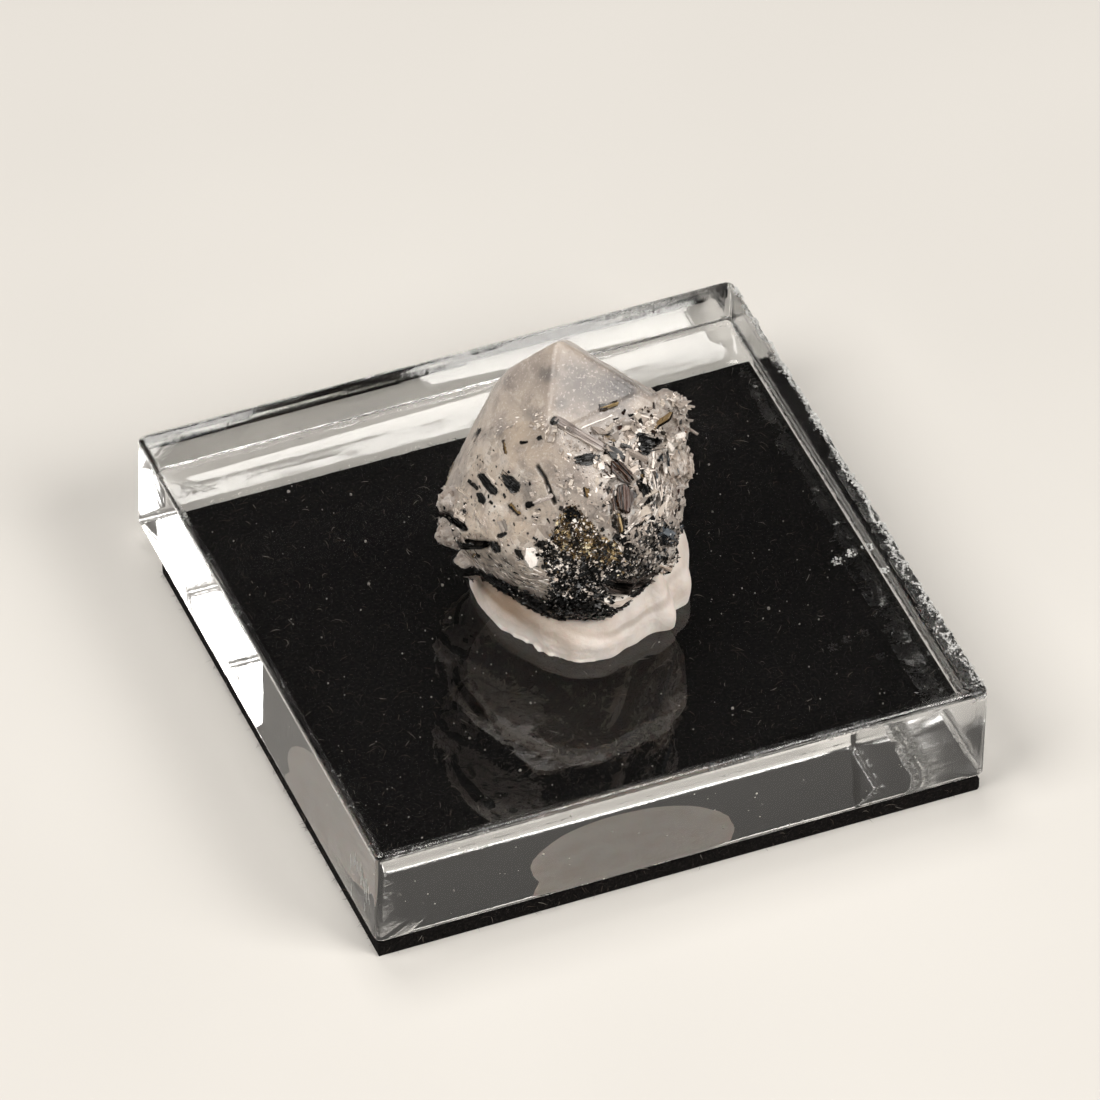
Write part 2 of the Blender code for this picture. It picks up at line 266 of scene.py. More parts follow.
def closed_faces(rows: int, columns: int) -> list[Array]:
    """Faces of a grid closed round and ended by one point at each end.

    The points are the first end, the rows in order and the last end. Seen from outside, the
    rows run upwards and the columns anticlockwise from above.
    """
    ring = np.arange(columns)
    following = (ring + 1) % columns
    first = np.stack([np.zeros_like(ring), 1 + following, 1 + ring], axis=1)
    last_row = 1 + (rows - 1) * columns
    end = np.full_like(ring, 1 + rows * columns)
    last = np.stack([end, last_row + ring, last_row + following], axis=1)
    return [sheet_faces(rows, columns) + 1, np.vstack([first, last])]


def closed_points(first: Array, grid: Array, last: Array) -> Array:
    """The points that closed_faces joins: one end, the grid row by row, the other end."""
    return np.vstack([first[None], grid.reshape(-1, 3), last[None]])


def copies(shape: Array, faces: list[Array], axes: Array, places: Array) -> tuple[Array, list[Array]]:
    """Many copies of a small shape, each on its own axes at its own place.

    Args:
        shape: the shape's points, (V, 3), or one set for each copy, (K, V, 3).
        faces: its faces.
        axes: for each copy its X, Y and Z directions with their scales, (K, 3, 3) by rows.
        places: for each copy its place, (K, 3).

    Returns:
        All the points and all the faces.
    """
    sets = np.broadcast_to(shape, (len(places), *shape.shape[-2:]))
    points = np.einsum("kvi,kij->kvj", sets, axes) + places[:, None]
    shift = np.arange(len(places)) * sets.shape[1]
    moved = [(array[None] + shift[:, None, None]).reshape(-1, array.shape[1]) for array in faces]
    return points.reshape(-1, 3), moved


def frames_on(normals: Array, spins: Array, way: Array | None = None) -> Array:
    """Axes whose third lies along each normal, with the first turned round it by spins.

    Args:
        normals: unit directions, (K, 3).
        spins: angles in radians, (K,).
        way: a direction that the first axis follows where its spin is a right angle.

    Returns:
        Three unit rows for each, (K, 3, 3).
    """
    helper = np.where(np.abs(normals[:, 2:]) < 0.9, [[0.0, 0.0, 1.0]], [[1.0, 0.0, 0.0]])
    helper = helper if way is None else way[None]
    across = unit(np.cross(helper, normals))
    beside = np.cross(normals, across)
    turn, sway = np.cos(spins)[:, None], np.sin(spins)[:, None]
    return np.stack([across * turn + beside * sway, beside * turn - across * sway, normals], axis=1)


# Material building


def colour(hex_code: str) -> tuple[float, float, float, float]:
    """An sRGB hex colour as the linear values that a shader takes."""
    parts = [int(hex_code[start:start + 2], 16) / 255.0 for start in (1, 3, 5)]
    linear = [part / 12.92 if part <= 0.04045 else ((part + 0.055) / 1.055) ** 2.4 for part in parts]
    return (*linear, 1.0)


def add_node(
    tree: bpy.types.NodeTree,
    kind: str,
    feeds: dict[int | str, Socket] | None = None,
    values: dict[int | str, float | tuple] | None = None,
    **settings: str,
) -> bpy.types.Node:
    """Add a node, set its options and sockets, and link what feeds it.

    Args:
        tree: the material's node tree.
        kind: the node's type name.
        feeds: output socket for each input, by its name or number.
        values: constant for each input, by its name or number.
        settings: the node's own options.

    Returns:
        The new node.
    """
    node = tree.nodes.new(kind)
    for option, value in settings.items():
        setattr(node, option, value)
    for socket, value in (values or {}).items():
        node.inputs[socket].default_value = value
    for socket, source in (feeds or {}).items():
        tree.links.new(source, node.inputs[socket])
    return node


class Palette:
    """One material's tree, with the patterns that several finishes share."""

    def __init__(self, name: str) -> None:
        """Start a material that holds only a Principled shader and its output."""
        self.material = bpy.data.materials.new(name)
        self.material.use_nodes = True
        self.tree = self.material.node_tree
        self.shader = self.tree.nodes["Principled BSDF"]
        self.places = add_node(self.tree, "ShaderNodeTexCoord").outputs["Object"]

    def set(self, **values: float | tuple) -> None:
        """Set constants on the shader; a name's _ stands for a space."""
        for name, value in values.items():
            self.shader.inputs[name.replace("_", " ")].default_value = value

    def feed(self, name: str, source: Socket) -> None:
        """Link a pattern to one of the shader's sockets."""
        self.tree.links.new(source, self.shader.inputs[name])

    def painted(self, name: str) -> Socket:
        """The number that paint stored on the mesh."""
        return add_node(self.tree, "ShaderNodeAttribute", attribute_name=name).outputs["Fac"]

    def stretched(self, scale: tuple[float, ...], turn: tuple[float, ...]) -> Socket:
        """Object places stretched and turned (degrees), for patterns that run one way."""
        turned = tuple(math.radians(angle) for angle in turn)
        values = {"Scale": scale, "Rotation": turned}
        return add_node(self.tree, "ShaderNodeMapping", {"Vector": self.places}, values).outputs["Vector"]

    def noise(
        self, grain: float, detail: float = 4.0, roughness: float = 0.6, places: Socket | None = None
    ) -> Socket:
        """Noise whose main lumps are grain mm across."""
        values = {"Scale": 1.0 / (grain * MM), "Detail": detail, "Roughness": roughness}
        feeds = {"Vector": places or self.places}
        return add_node(self.tree, "ShaderNodeTexNoise", feeds, values).outputs["Fac"]

    def combed(self, name: str, pitch: float) -> Socket:
        """Lines pitch mm apart that run along a piece, from the painted place across it in mm."""
        values = {"Scale": 1.0 / pitch, "Detail": 2.0}
        feeds = {"W": self.painted(name)}
        return add_node(self.tree, "ShaderNodeTexNoise", feeds, values, noise_dimensions="1D").outputs["Fac"]

    def cells(self, grain: float, output: str = "Distance", **settings: str) -> Socket:
        """Cells grain mm across."""
        values = {"Scale": 1.0 / (grain * MM)}
        feeds = {"Vector": self.places}
        return add_node(self.tree, "ShaderNodeTexVoronoi", feeds, values, **settings).outputs[output]

    def ramp(self, source: Socket, stops: list[tuple[float, str]], steps: bool = False) -> Socket:
        """Colours along a number, given as (place, hex colour)."""
        node = add_node(self.tree, "ShaderNodeValToRGB", {"Fac": source})
        node.color_ramp.interpolation = "CONSTANT" if steps else "LINEAR"
        while len(node.color_ramp.elements) < len(stops):
            node.color_ramp.elements.new(0.5)
        for element, (place, code) in zip(node.color_ramp.elements, stops):
            element.position = place
            element.color = colour(code)
        return node.outputs["Color"]

    def fit(
        self, source: Socket, low: float, high: float, to_low: float = 0.0, to_high: float = 1.0
    ) -> Socket:
        """Map a number from low..high to to_low..to_high, held at the ends."""
        values = {1: low, 2: high, 3: to_low, 4: to_high}
        return add_node(self.tree, "ShaderNodeMapRange", {"Value": source}, values).outputs["Result"]

    def times(self, first: Socket, second: Socket) -> Socket:
        """The product of two numbers."""
        feeds = {0: first, 1: second}
        return add_node(self.tree, "ShaderNodeMath", feeds, operation="MULTIPLY").outputs[0]

    def blend(self, share: Term, first: Term, second: Term) -> Socket:
        """Blend two colours, given as sockets or hex codes, by a share from 0 to 1."""
        feeds, values = {}, {}
        for socket, term in ((0, share), (6, first), (7, second)):
            if isinstance(term, str):
                values[socket] = colour(term)
            elif isinstance(term, (int, float)):
                values[socket] = term
            else:
                feeds[socket] = term
        node = add_node(self.tree, "ShaderNodeMix", feeds, values, data_type="RGBA")
        return node.outputs[2]

    def relief(self, height: Socket, depth: float, under: Socket | None = None) -> Socket:
        """Bump of a pattern that stands depth mm high, over another bump."""
        feeds = {"Height": height}
        if under is not None:
            feeds["Normal"] = under
        values = {"Distance": depth * MM, "Strength": 1.0}
        return add_node(self.tree, "ShaderNodeBump", feeds, values).outputs["Normal"]


# Camera and studio


@dataclass(frozen=True)
class PhotoCamera:
    """The photograph's camera, as fitted to the eight corners of the square."""

    azimuth: float = -23.48
    elevation: float = 43.28
    roll: float = 1.48
    distance: float = 608.4
    focal_length: float = 403.7
    sensor: float = 36.0
    frame_width: float = 1100.0
    target: tuple[float, float, float] = (2.35, 6.53, 1.05)

    def axes(self) -> Array:
        """The camera's right, up and back directions, (3, 3) by rows."""
        turn, tilt, roll = (math.radians(angle) for angle in (self.azimuth, self.elevation, self.roll))
        back = np.array([math.sin(turn) * math.cos(tilt), -math.cos(turn) * math.cos(tilt), math.sin(tilt)])
        right = np.array([math.cos(turn), math.sin(turn), 0.0])
        up = np.cross(back, right)
        rolled_right = math.cos(roll) * right + math.sin(roll) * up
        rolled_up = math.cos(roll) * up - math.sin(roll) * right
        return np.stack([rolled_right, rolled_up, back])

    def place(self) -> Array:
        """Where the lens is, in mm."""
        return np.array(self.target) + self.axes()[2] * self.distance

    def rays(self, pixels: Array) -> Array:
        """Unit directions from the lens through pixels of the photograph, (N, 3)."""
        right, up, back = self.axes()
        scale = self.sensor / self.focal_length / self.frame_width
        offset = (pixels - 0.5 * self.frame_width) * scale
        return unit(offset[:, :1] * right - offset[:, 1:] * up - back)

    def pixels(self, points: Array) -> Array:
        """Pixels of the photograph where points in mm appear, (N, 2)."""
        right, up, back = self.axes()
        offset = points - self.place()
        depth = -(offset @ back)
        scale = self.focal_length / self.sensor * self.frame_width
        across = 0.5 * self.frame_width + scale * (offset @ right) / depth
        down = 0.5 * self.frame_width - scale * (offset @ up) / depth
        return np.stack([across, down], axis=-1)

    def build(self) -> None:
        """Add the camera to the scene."""
        data = bpy.data.cameras.new("photo_camera")
        data.lens = self.focal_length
        data.sensor_width = self.sensor
        data.clip_start = 0.01
        data.clip_end = 10.0
        made = bpy.data.objects.new("photo_camera", data)
        turn = Matrix([list(axis) for axis in self.axes()]).transposed().to_4x4()
        made.matrix_world = Matrix.Translation(Vector(self.place() * MM)) @ turn
        bpy.context.scene.collection.objects.link(made)
        bpy.context.scene.camera = made


@dataclass(frozen=True)
class SoftBox:
    """A square studio lamp: the way to it from the object, its reach and side in mm, its watts."""

    name: str
    azimuth: float
    elevation: float
    reach: float
    side: float
    power: float
    tint: str = "#fffcf8"

    def build(self) -> None:
        """Add the lamp, turned towards the object."""
        data = bpy.data.lights.new(self.name, "AREA")
        data.shape = "SQUARE"
        data.size = self.side * MM
        data.energy = self.power
        data.color = colour(self.tint)[:3]
        turn, tilt = math.radians(self.azimuth), math.radians(self.elevation)
        back = Vector((math.sin(turn) * math.cos(tilt), -math.cos(turn) * math.cos(tilt), math.sin(tilt)))
        made = bpy.data.objects.new(self.name, data)
        made.location = back * self.reach * MM
        made.rotation_euler = back.to_track_quat("Z", "Y").to_euler()
        bpy.context.scene.collection.objects.link(made)


@dataclass(frozen=True)
class Studio:
    """A pale floor, a dim room and soft lamps."""

    floor_side: float = 900.0
    floor_colour: str = "#c9c6c1"
    room_colour: str = "#8a8886"
    room_strength: float = 0.1
    lamps: tuple[SoftBox, ...] = (
        SoftBox("key_lamp", 38.0, 41.0, 420.0, 220.0, 1.5),
        SoftBox("left_lamp", -80.0, 54.0, 420.0, 220.0, 1.4),
        SoftBox("back_lamp", 182.0, 70.0, 420.0, 170.0, 0.6),
    )

    def build(self) -> None:
        """Add the floor, the room's light and the lamps."""
        half = 0.5 * self.floor_side
        corners = np.array([[-half, -half, 0.0], [half, -half, 0.0], [half, half, 0.0], [-half, half, 0.0]])
        palette = Palette("matt_paper_floor")
        tone = palette.noise(40.0, detail=2.0)
        palette.feed("Base Color", palette.ramp(tone, [(0.3, self.floor_colour), (0.7, "#cecbc6")]))
        palette.set(Roughness=0.85)
        floor = place_mesh("floor", corners, [np.array([[0, 1, 2, 3]])], palette.material, smooth=False)
        room = bpy.data.worlds.new("room")
        room.use_nodes = True
        light = room.node_tree.nodes["Background"]
        light.inputs["Color"].default_value = colour(self.room_colour)
        light.inputs["Strength"].default_value = self.room_strength
        bpy.context.scene.world = room
        bpy.context.scene.view_settings.view_transform = "Standard"
        for lamp in self.lamps:
            lamp.build()


# Finishes


@dataclass(frozen=True)
class CastAcrylic:
    """Clear cast acrylic: flame-polished walls, one wall left as sawn, frosted where chipped.

    The IOR starts at acrylic's 1.49 and is raised until the pale band at the top of the front
    wall is as tall as it looks.
    """

    ior: float = 1.56
    polish: float = 0.012
    frost: float = 0.42
    saw_pitch: float = 0.35

    def make(self) -> Finish:
        """Clear with faint waves in the walls and a matt grey bloom where paint says frost."""
        palette = Palette("cast_acrylic_flame_polished")
        frost = palette.painted("frost")
        palette.set(IOR=self.ior, Transmission_Weight=1.0, Base_Color=colour("#fdfdfc"))
        grit = palette.noise(0.12, detail=3.0)
        uneven = palette.times(frost, palette.fit(grit, 0.3, 0.6, 0.6, 1.0))
        palette.feed("Roughness", palette.fit(uneven, 0.0, 1.0, self.polish, self.frost))
        saw = palette.noise(self.saw_pitch, places=palette.stretched((1.0, 1.0, 0.12), (0.0, 0.0, 0.0)))
        lines = palette.times(saw, frost)
        under = palette.relief(lines, 0.08)
        palette.feed("Normal", under)
        return palette.material


@dataclass(frozen=True)
class PressedFelt:
    """Black needled felt: short fibres, grey where they catch the light."""

    dark: str = "#030303"
    middle: str = "#171413"
    light: str = "#453e3b"
    fibre: float = 0.17

    def make(self) -> Finish:
        """Near black with a fibrous mottle, drawn coarser than a fibre so that it shows."""
        palette = Palette("black_needled_felt")
        tone = palette.noise(self.fibre, detail=5.0, roughness=0.8)
        stops = [(0.42, self.dark), (0.58, self.middle), (0.72, self.light)]
        palette.feed("Base Color", palette.ramp(tone, stops))
        palette.set(Roughness=0.95, Specular_IOR_Level=0.12)
        palette.feed("Normal", palette.relief(tone, 0.06))
        return palette.material

    def make_fibres(self) -> Finish:
        """Single fibres, whose paint tone runs from black to grey, with a few brown and white."""
        palette = Palette("felt_fibre")
        stops = [(0.0, "#090808"), (0.45, "#171514"), (0.8, "#2e2a28"), (0.96, "#52473d"), (0.99, "#8f8a83")]
        palette.feed("Base Color", palette.ramp(palette.painted("tone"), stops))
        palette.set(Roughness=0.8, Specular_IOR_Level=0.15)
        return palette.material


@dataclass(frozen=True)
class MountingPutty:
    """Cream mounting putty pressed by hand: matt, with finger lines and a greasy softness."""

    pale: str = "#ece3dc"
    shade: str = "#dccfc4"
    painted_shade: str = "#95806d"

    def make(self) -> Finish:
        """Off-white, darkened to a warm brown as painted shade in the swirl troughs and on the left under
        the crystal, with a very fine drag texture.
        """
        palette = Palette("mounting_putty_hand_pressed")
        mottle = palette.noise(1.4, detail=3.0)
        # Painted shade: a warm brown blended in where the mesh's number marks shade.
        painted_shade = palette.fit(palette.painted("painted_shade"), 0.0, 1.0)
        base = palette.ramp(mottle, [(0.3, self.shade), (0.6, self.pale)])
        palette.feed("Base Color", palette.blend(painted_shade, base, self.painted_shade))
        palette.set(Roughness=0.55, Subsurface_Weight=0.15, Subsurface_Scale=0.0006)
        grain = palette.relief(palette.noise(0.16, detail=4.0), 0.03)
        palette.feed("Normal", palette.relief(palette.noise(0.9, detail=2.0), 0.08, under=grain))
        return palette.material


@dataclass(frozen=True)
class MilkyPhenakite:
    """Phenakite as grown: hard, glassy on the roof, milky inside, broken and etched lower down."""

    ior: float = 1.654
    see_through: float = 0.3
    shard_codes: tuple[str, ...] = ("#8a8079", "#ada199", "#c6b9ad", "#dbcfc2", "#e8dfd6")
    rubble_codes: tuple[str, ...] = (
        "#5e493c", "#a48f80", "#b8aaa0", "#d8cbc0", "#eae1d9", "#e0d6cd", "#c4b4a9", "#f5efe9",
    )
    gold_codes: tuple[str, ...] = ("#120d09", "#3d2f20", "#7b664a", "#ab956e", "#d8caa9")
    dark_codes: tuple[str, ...] = ("#040404", "#080707", "#14100e", "#3c342d", "#988c81")
    flat_codes: tuple[tuple[str, str], ...] = (
        ("layer", "#2c2824"), ("brown", "#251209"), ("seam", "#040404"), ("white", "#e2ded6"),
    )

    def make(self) -> Finish:
        """Warm grey and half see-through, with inner clouds, painted shade on the roof, flecks, and painted
        mica ground.
        """
        palette = Palette("phenakite_natural_milky")
        broken = palette.painted("broken")
        base = self.clouded(palette)
        shards = self.ground(palette, 0.5, self.shard_codes)
        base = palette.blend(self.shards(palette, broken), base, shards)
        base = palette.blend(self.threads(palette), base, "#e0d5cb")
        stain = palette.fit(palette.noise(0.28, detail=4.0, roughness=0.7), 0.56, 0.66)
        stain = palette.times(stain, palette.fit(broken, 0.1, 0.9, 0.0, 0.6))
        base = palette.blend(stain, base, "#544a3f")
        # Painted highlight: pale lit rims of chips where the face is broken.
        base = palette.blend(self.painted_chip_highlights(palette, broken), base, "#e9e4da")
        base = palette.blend(self.specks(palette, broken), base, "#15110d")
        lists = (self.rubble_codes, self.gold_codes, self.dark_codes)
        for name, grain, codes in zip(("rubbly", "gold", "dark"), (0.16, 0.13, 0.12), lists):
            base = palette.blend(palette.painted(name), base, self.ground(palette, grain, codes))
        for name, code in self.flat_codes:
            base = palette.blend(palette.painted(name), base, code)
        palette.feed("Base Color", base)
        palette.set(IOR=self.ior, Transmission_Weight=self.see_through, Specular_IOR_Level=0.5)
        palette.set(Subsurface_Weight=0.5, Subsurface_Scale=0.0009, Subsurface_Radius=(1.0, 0.92, 0.84))
        palette.feed("Roughness", palette.fit(broken, 0.0, 1.0, 0.24, 0.3))
        grit = palette.relief(palette.noise(0.1, detail=3.0, roughness=0.7), 0.03)
        scars = palette.stretched((1.0, 1.0, 0.3), (20.0, 35.0, 0.0))
        rubbed = palette.relief(palette.noise(0.3, detail=4.0, places=scars), 0.04, under=grit)
        palette.feed("Normal", palette.relief(self.chipping(palette, broken), 0.12, under=rubbed))
        return palette.material

    def clouded(self, palette: Palette) -> Socket:
        """Milky body: grey and beige clouds of three sizes under crisp white veils."""
        wide = palette.noise(2.4, detail=4.0, roughness=0.55)
        base = palette.ramp(wide, [(0.32, "#aa9f98"), (0.5, "#c3b6ab"), (0.68, "#d8c9ba")])
        base = palette.blend(palette.painted("cream"), base, "#dcc9b3")
        grey = palette.fit(palette.noise(0.9, detail=5.0, roughness=0.65), 0.5, 0.36, 0.0, 0.55)
        base = palette.blend(grey, base, "#8e8580")
        veil = palette.fit(palette.noise(0.6, detail=6.0, roughness=0.75), 0.54, 0.68, 0.0, 0.75)
        base = palette.blend(veil, base, "#e5d9ce")
        # Inner clouds, and painted shade that dims the roof's middle and right, as a cool grey.
        base = palette.blend(palette.painted("cloud_and_shade"), base, "#6e6a69")
        fleck = palette.fit(palette.noise(0.14, detail=3.0), 0.58, 0.68, 0.0, 0.6)
        return palette.blend(fleck, base, "#f0e6dc")

    def shards(self, palette: Palette, broken: Socket) -> Socket:
        """How far the tones of broken shards show."""
        patches = palette.fit(palette.noise(1.3, detail=3.0), 0.42, 0.6, 0.1, 0.6)
        return palette.times(patches, palette.fit(broken, 0.0, 1.0, 0.12, 1.0))

    def threads(self, palette: Palette) -> Socket:
        """Fine pale threads inside the crystal, which run up and to the right."""
        drawn = palette.stretched((1.0, 1.0, 0.1), (12.0, 30.0, 0.0))
        line = palette.fit(palette.noise(0.16, detail=2.0, places=drawn), 0.62, 0.7, 0.0, 0.5)
        return palette.times(line, palette.fit(palette.noise(1.6, detail=1.0), 0.45, 0.6))

    def chipping(self, palette: Palette, broken: Socket) -> Socket:
        """Height of flat chips: cells at different levels, only where the face is broken."""
        levels = add_node(palette.tree, "ShaderNodeSeparateColor", {"Color": palette.cells(0.3, "Color")})
        return palette.times(levels.outputs[0], palette.fit(broken, 0.2, 1.0, 0.0, 1.0))

    def painted_chip_highlights(self, palette: Palette, broken: Socket) -> Socket:
        """Painted highlight: thin pale lines along the edges of uneven cells, as lit rims of chips, only
        here and there.
        """
        edge = palette.cells(0.55, feature="DISTANCE_TO_EDGE")
        line = palette.fit(edge, 0.0, 0.04, 0.8, 0.0)
        some = palette.fit(palette.noise(1.1, detail=2.0), 0.48, 0.58)
        return palette.times(palette.times(line, some), broken)

    def specks(self, palette: Palette, broken: Socket) -> Socket:
        """Small dark specks of mica, one in a few cells of a lattice."""
        spot = palette.fit(palette.cells(0.38), 0.1, 0.22, 1.0, 0.0)
        chance = palette.fit(palette.cells(0.38, output="Color"), 0.62, 0.66)
        return palette.times(palette.times(spot, chance), broken)

    def ground(self, palette: Palette, grain: float, codes: tuple[str, ...]) -> Socket:
        """Ground of small grains, each of one colour out of the list."""
        tone = palette.cells(grain, output="Color")
        stops = [(0.1 + 0.8 * index / len(codes), code) for index, code in enumerate(codes)]
        return palette.ramp(tone, stops, steps=True)


class MicaKind(Enum):
    """Colour ranges of the mica and its company, from the commonest to the rarest tone."""

    BLACK = ("biotite_mica_black", ("#030303", "#050505", "#080706", "#15120f", "#3a342c"))
    BRONZE = ("phlogopite_mica_bronze", ("#140f0a", "#3a2c1c", "#705c3d", "#a58f68", "#d9cca9"))
    RED_BROWN = ("phlogopite_mica_red_brown", ("#0b0503", "#180a05", "#2d130a", "#462310", "#6e4a32"))
    PALE = ("feldspar_cleaved_white", ("#d8cbc0", "#e9dfd6", "#f2ebe4", "#c6b5a7", "#f8f3ee"))
    GREY = ("phenakite_shard_grey", ("#9c938b", "#b5a99f", "#cfc3b6", "#78726c", "#e2d6ca"))
    STEEL = ("muscovite_mica_steel_blue", ("#2b3035", "#50565c", "#15181b", "#767d84", "#a8aeb4"))
    LILAC = ("tourmaline_rod_lilac_grey", ("#938984", "#aca19b", "#7c726c", "#c4bab2", "#4a403b"))
    SCHORL = ("tourmaline_rod_black", ("#0a0908", "#12100f", "#070606", "#24201d", "#7a6d66"))


@dataclass(frozen=True)
class CleavedFinish:
    """Mica and feldspar: split along flat sheets, so they flash like foil or pearl."""

    kind: MicaKind
    roughness: float = 0.22
    gloss: float = 0.3
    pitch: float = 0.1
    seen: float = 0.0
    combed: bool = False

    def make(self) -> Finish:
        """Tone by the painted number, fine lines of the sheets, and a pearly gloss."""
        name, codes = self.kind.value
        palette = Palette(name)
        stops = list(zip((0.0, 0.3, 0.6, 0.82, 0.95), codes))
        base = palette.ramp(palette.painted("tone"), stops, steps=True)
        worn = palette.fit(palette.noise(self.pitch, detail=4.0, roughness=0.7), 0.6, 0.72, 0.0, 0.6)
        base = palette.blend(worn, base, codes[3])
        pitted = palette.fit(palette.noise(0.2, detail=3.0, roughness=0.7), 0.32, 0.42, 0.8, 0.0)
        base = palette.blend(pitted, base, codes[0])
        height = palette.noise(self.pitch, detail=3.0, roughness=0.7)
        if self.combed:
            height = palette.combed("across", 0.05)
            base = palette.blend(palette.fit(height, 0.45, 0.65, 0.0, 0.5), base, codes[4])
        palette.feed("Base Color", base)
        palette.set(Roughness=self.roughness, Transmission_Weight=self.seen, IOR=1.58)
        palette.set(Specular_IOR_Level=self.gloss)
        palette.feed("Normal", palette.relief(height, 0.02))
        return palette.material


# Crystal form


@dataclass(frozen=True)
class Facet:
    """A flat face: the azimuth and elevation it looks to, and its distance from the centre, mm."""

    azimuth: float
    elevation: float
    distance: float


FACETS = {
    "roof_front_left": Facet(-61, 36.3, 4.92),
    "roof_front_right": Facet(30, 47.4, 4.86),
    "roof_back_left": Facet(-139, 39, 6.46),
    "roof_back_right": Facet(138, 43, 6.05),
    "left_upper": Facet(-83, 30, 5.32),
    "left_steep": Facet(-84, 22, 5.34),
    "left_back": Facet(-102, 20, 5.5),
    "front": Facet(-12, 25, 4.35),
    "front_right": Facet(67, 19, 5.05),
    "right_shoulder": Facet(79, 48, 6.45),
    "right": Facet(96, -8, 5.3),
    "back": Facet(180, 6, 5.17),
    "back_left": Facet(-145, 8, 5.45),
    "back_right": Facet(140, 8, 5.6),
    "foot_front": Facet(0, -38, 6.15),
    "foot_left": Facet(-79, -27, 5.85),
    "foot_front_left": Facet(-30, -13, 5.2),
    "foot_front_right": Facet(54, -10, 5.15),
    "foot_left_corner": Facet(-45, -42, 5.75),
    "foot_right_corner": Facet(45, -45, 5.9),
    "foot_back": Facet(180, -35, 5.5),
    "foot_back_left": Facet(-120, -40, 5.7),
    "foot_back_right": Facet(112, -26, 5.2),
    "underside": Facet(0, -90, 4.75),
}

ROOF_FACETS = ("roof_front_left", "roof_front_right", "roof_back_left", "roof_back_right", "left_upper")
# The roof stands CAP_PROUD out past a slightly tilted level, as a step in its growth
CAP_WAY = (90, -85)
CAP_LEVEL = 5.5
CAP_PROUD = 0.1

# Lobes that bulge out of the sides: to the right, forward, up, and radius, mm
LOBES = (
    (-5.6, 0.5, -0.55, 0.85),
    (-5.45, 0.9, -2.1, 0.95),
    (-4.75, 1.9, -3.15, 0.85),
    (4.45, -1.0, 4.45, 0.95),
    (4.7, -0.8, 3.3, 0.8),
    (4.85, 0.0, 1.85, 0.8),
    (4.0, 1.4, -2.6, 1.1),
    (1.5, -4.4, 1.6, 1.3),
    (-2.6, -4.1, -0.9, 1.5),
)


def facing(azimuth: Array, elevation: Array) -> Array:
    """Unit directions out of the crystal, turned with it, for angles in degrees."""
    heading = np.radians(np.asarray(azimuth, float) + CRYSTAL_TURN)
    tilt = np.radians(np.asarray(elevation, float))
    flat = np.cos(tilt)
    return np.stack([np.sin(heading) * flat, -np.cos(heading) * flat, np.sin(tilt)], axis=-1)


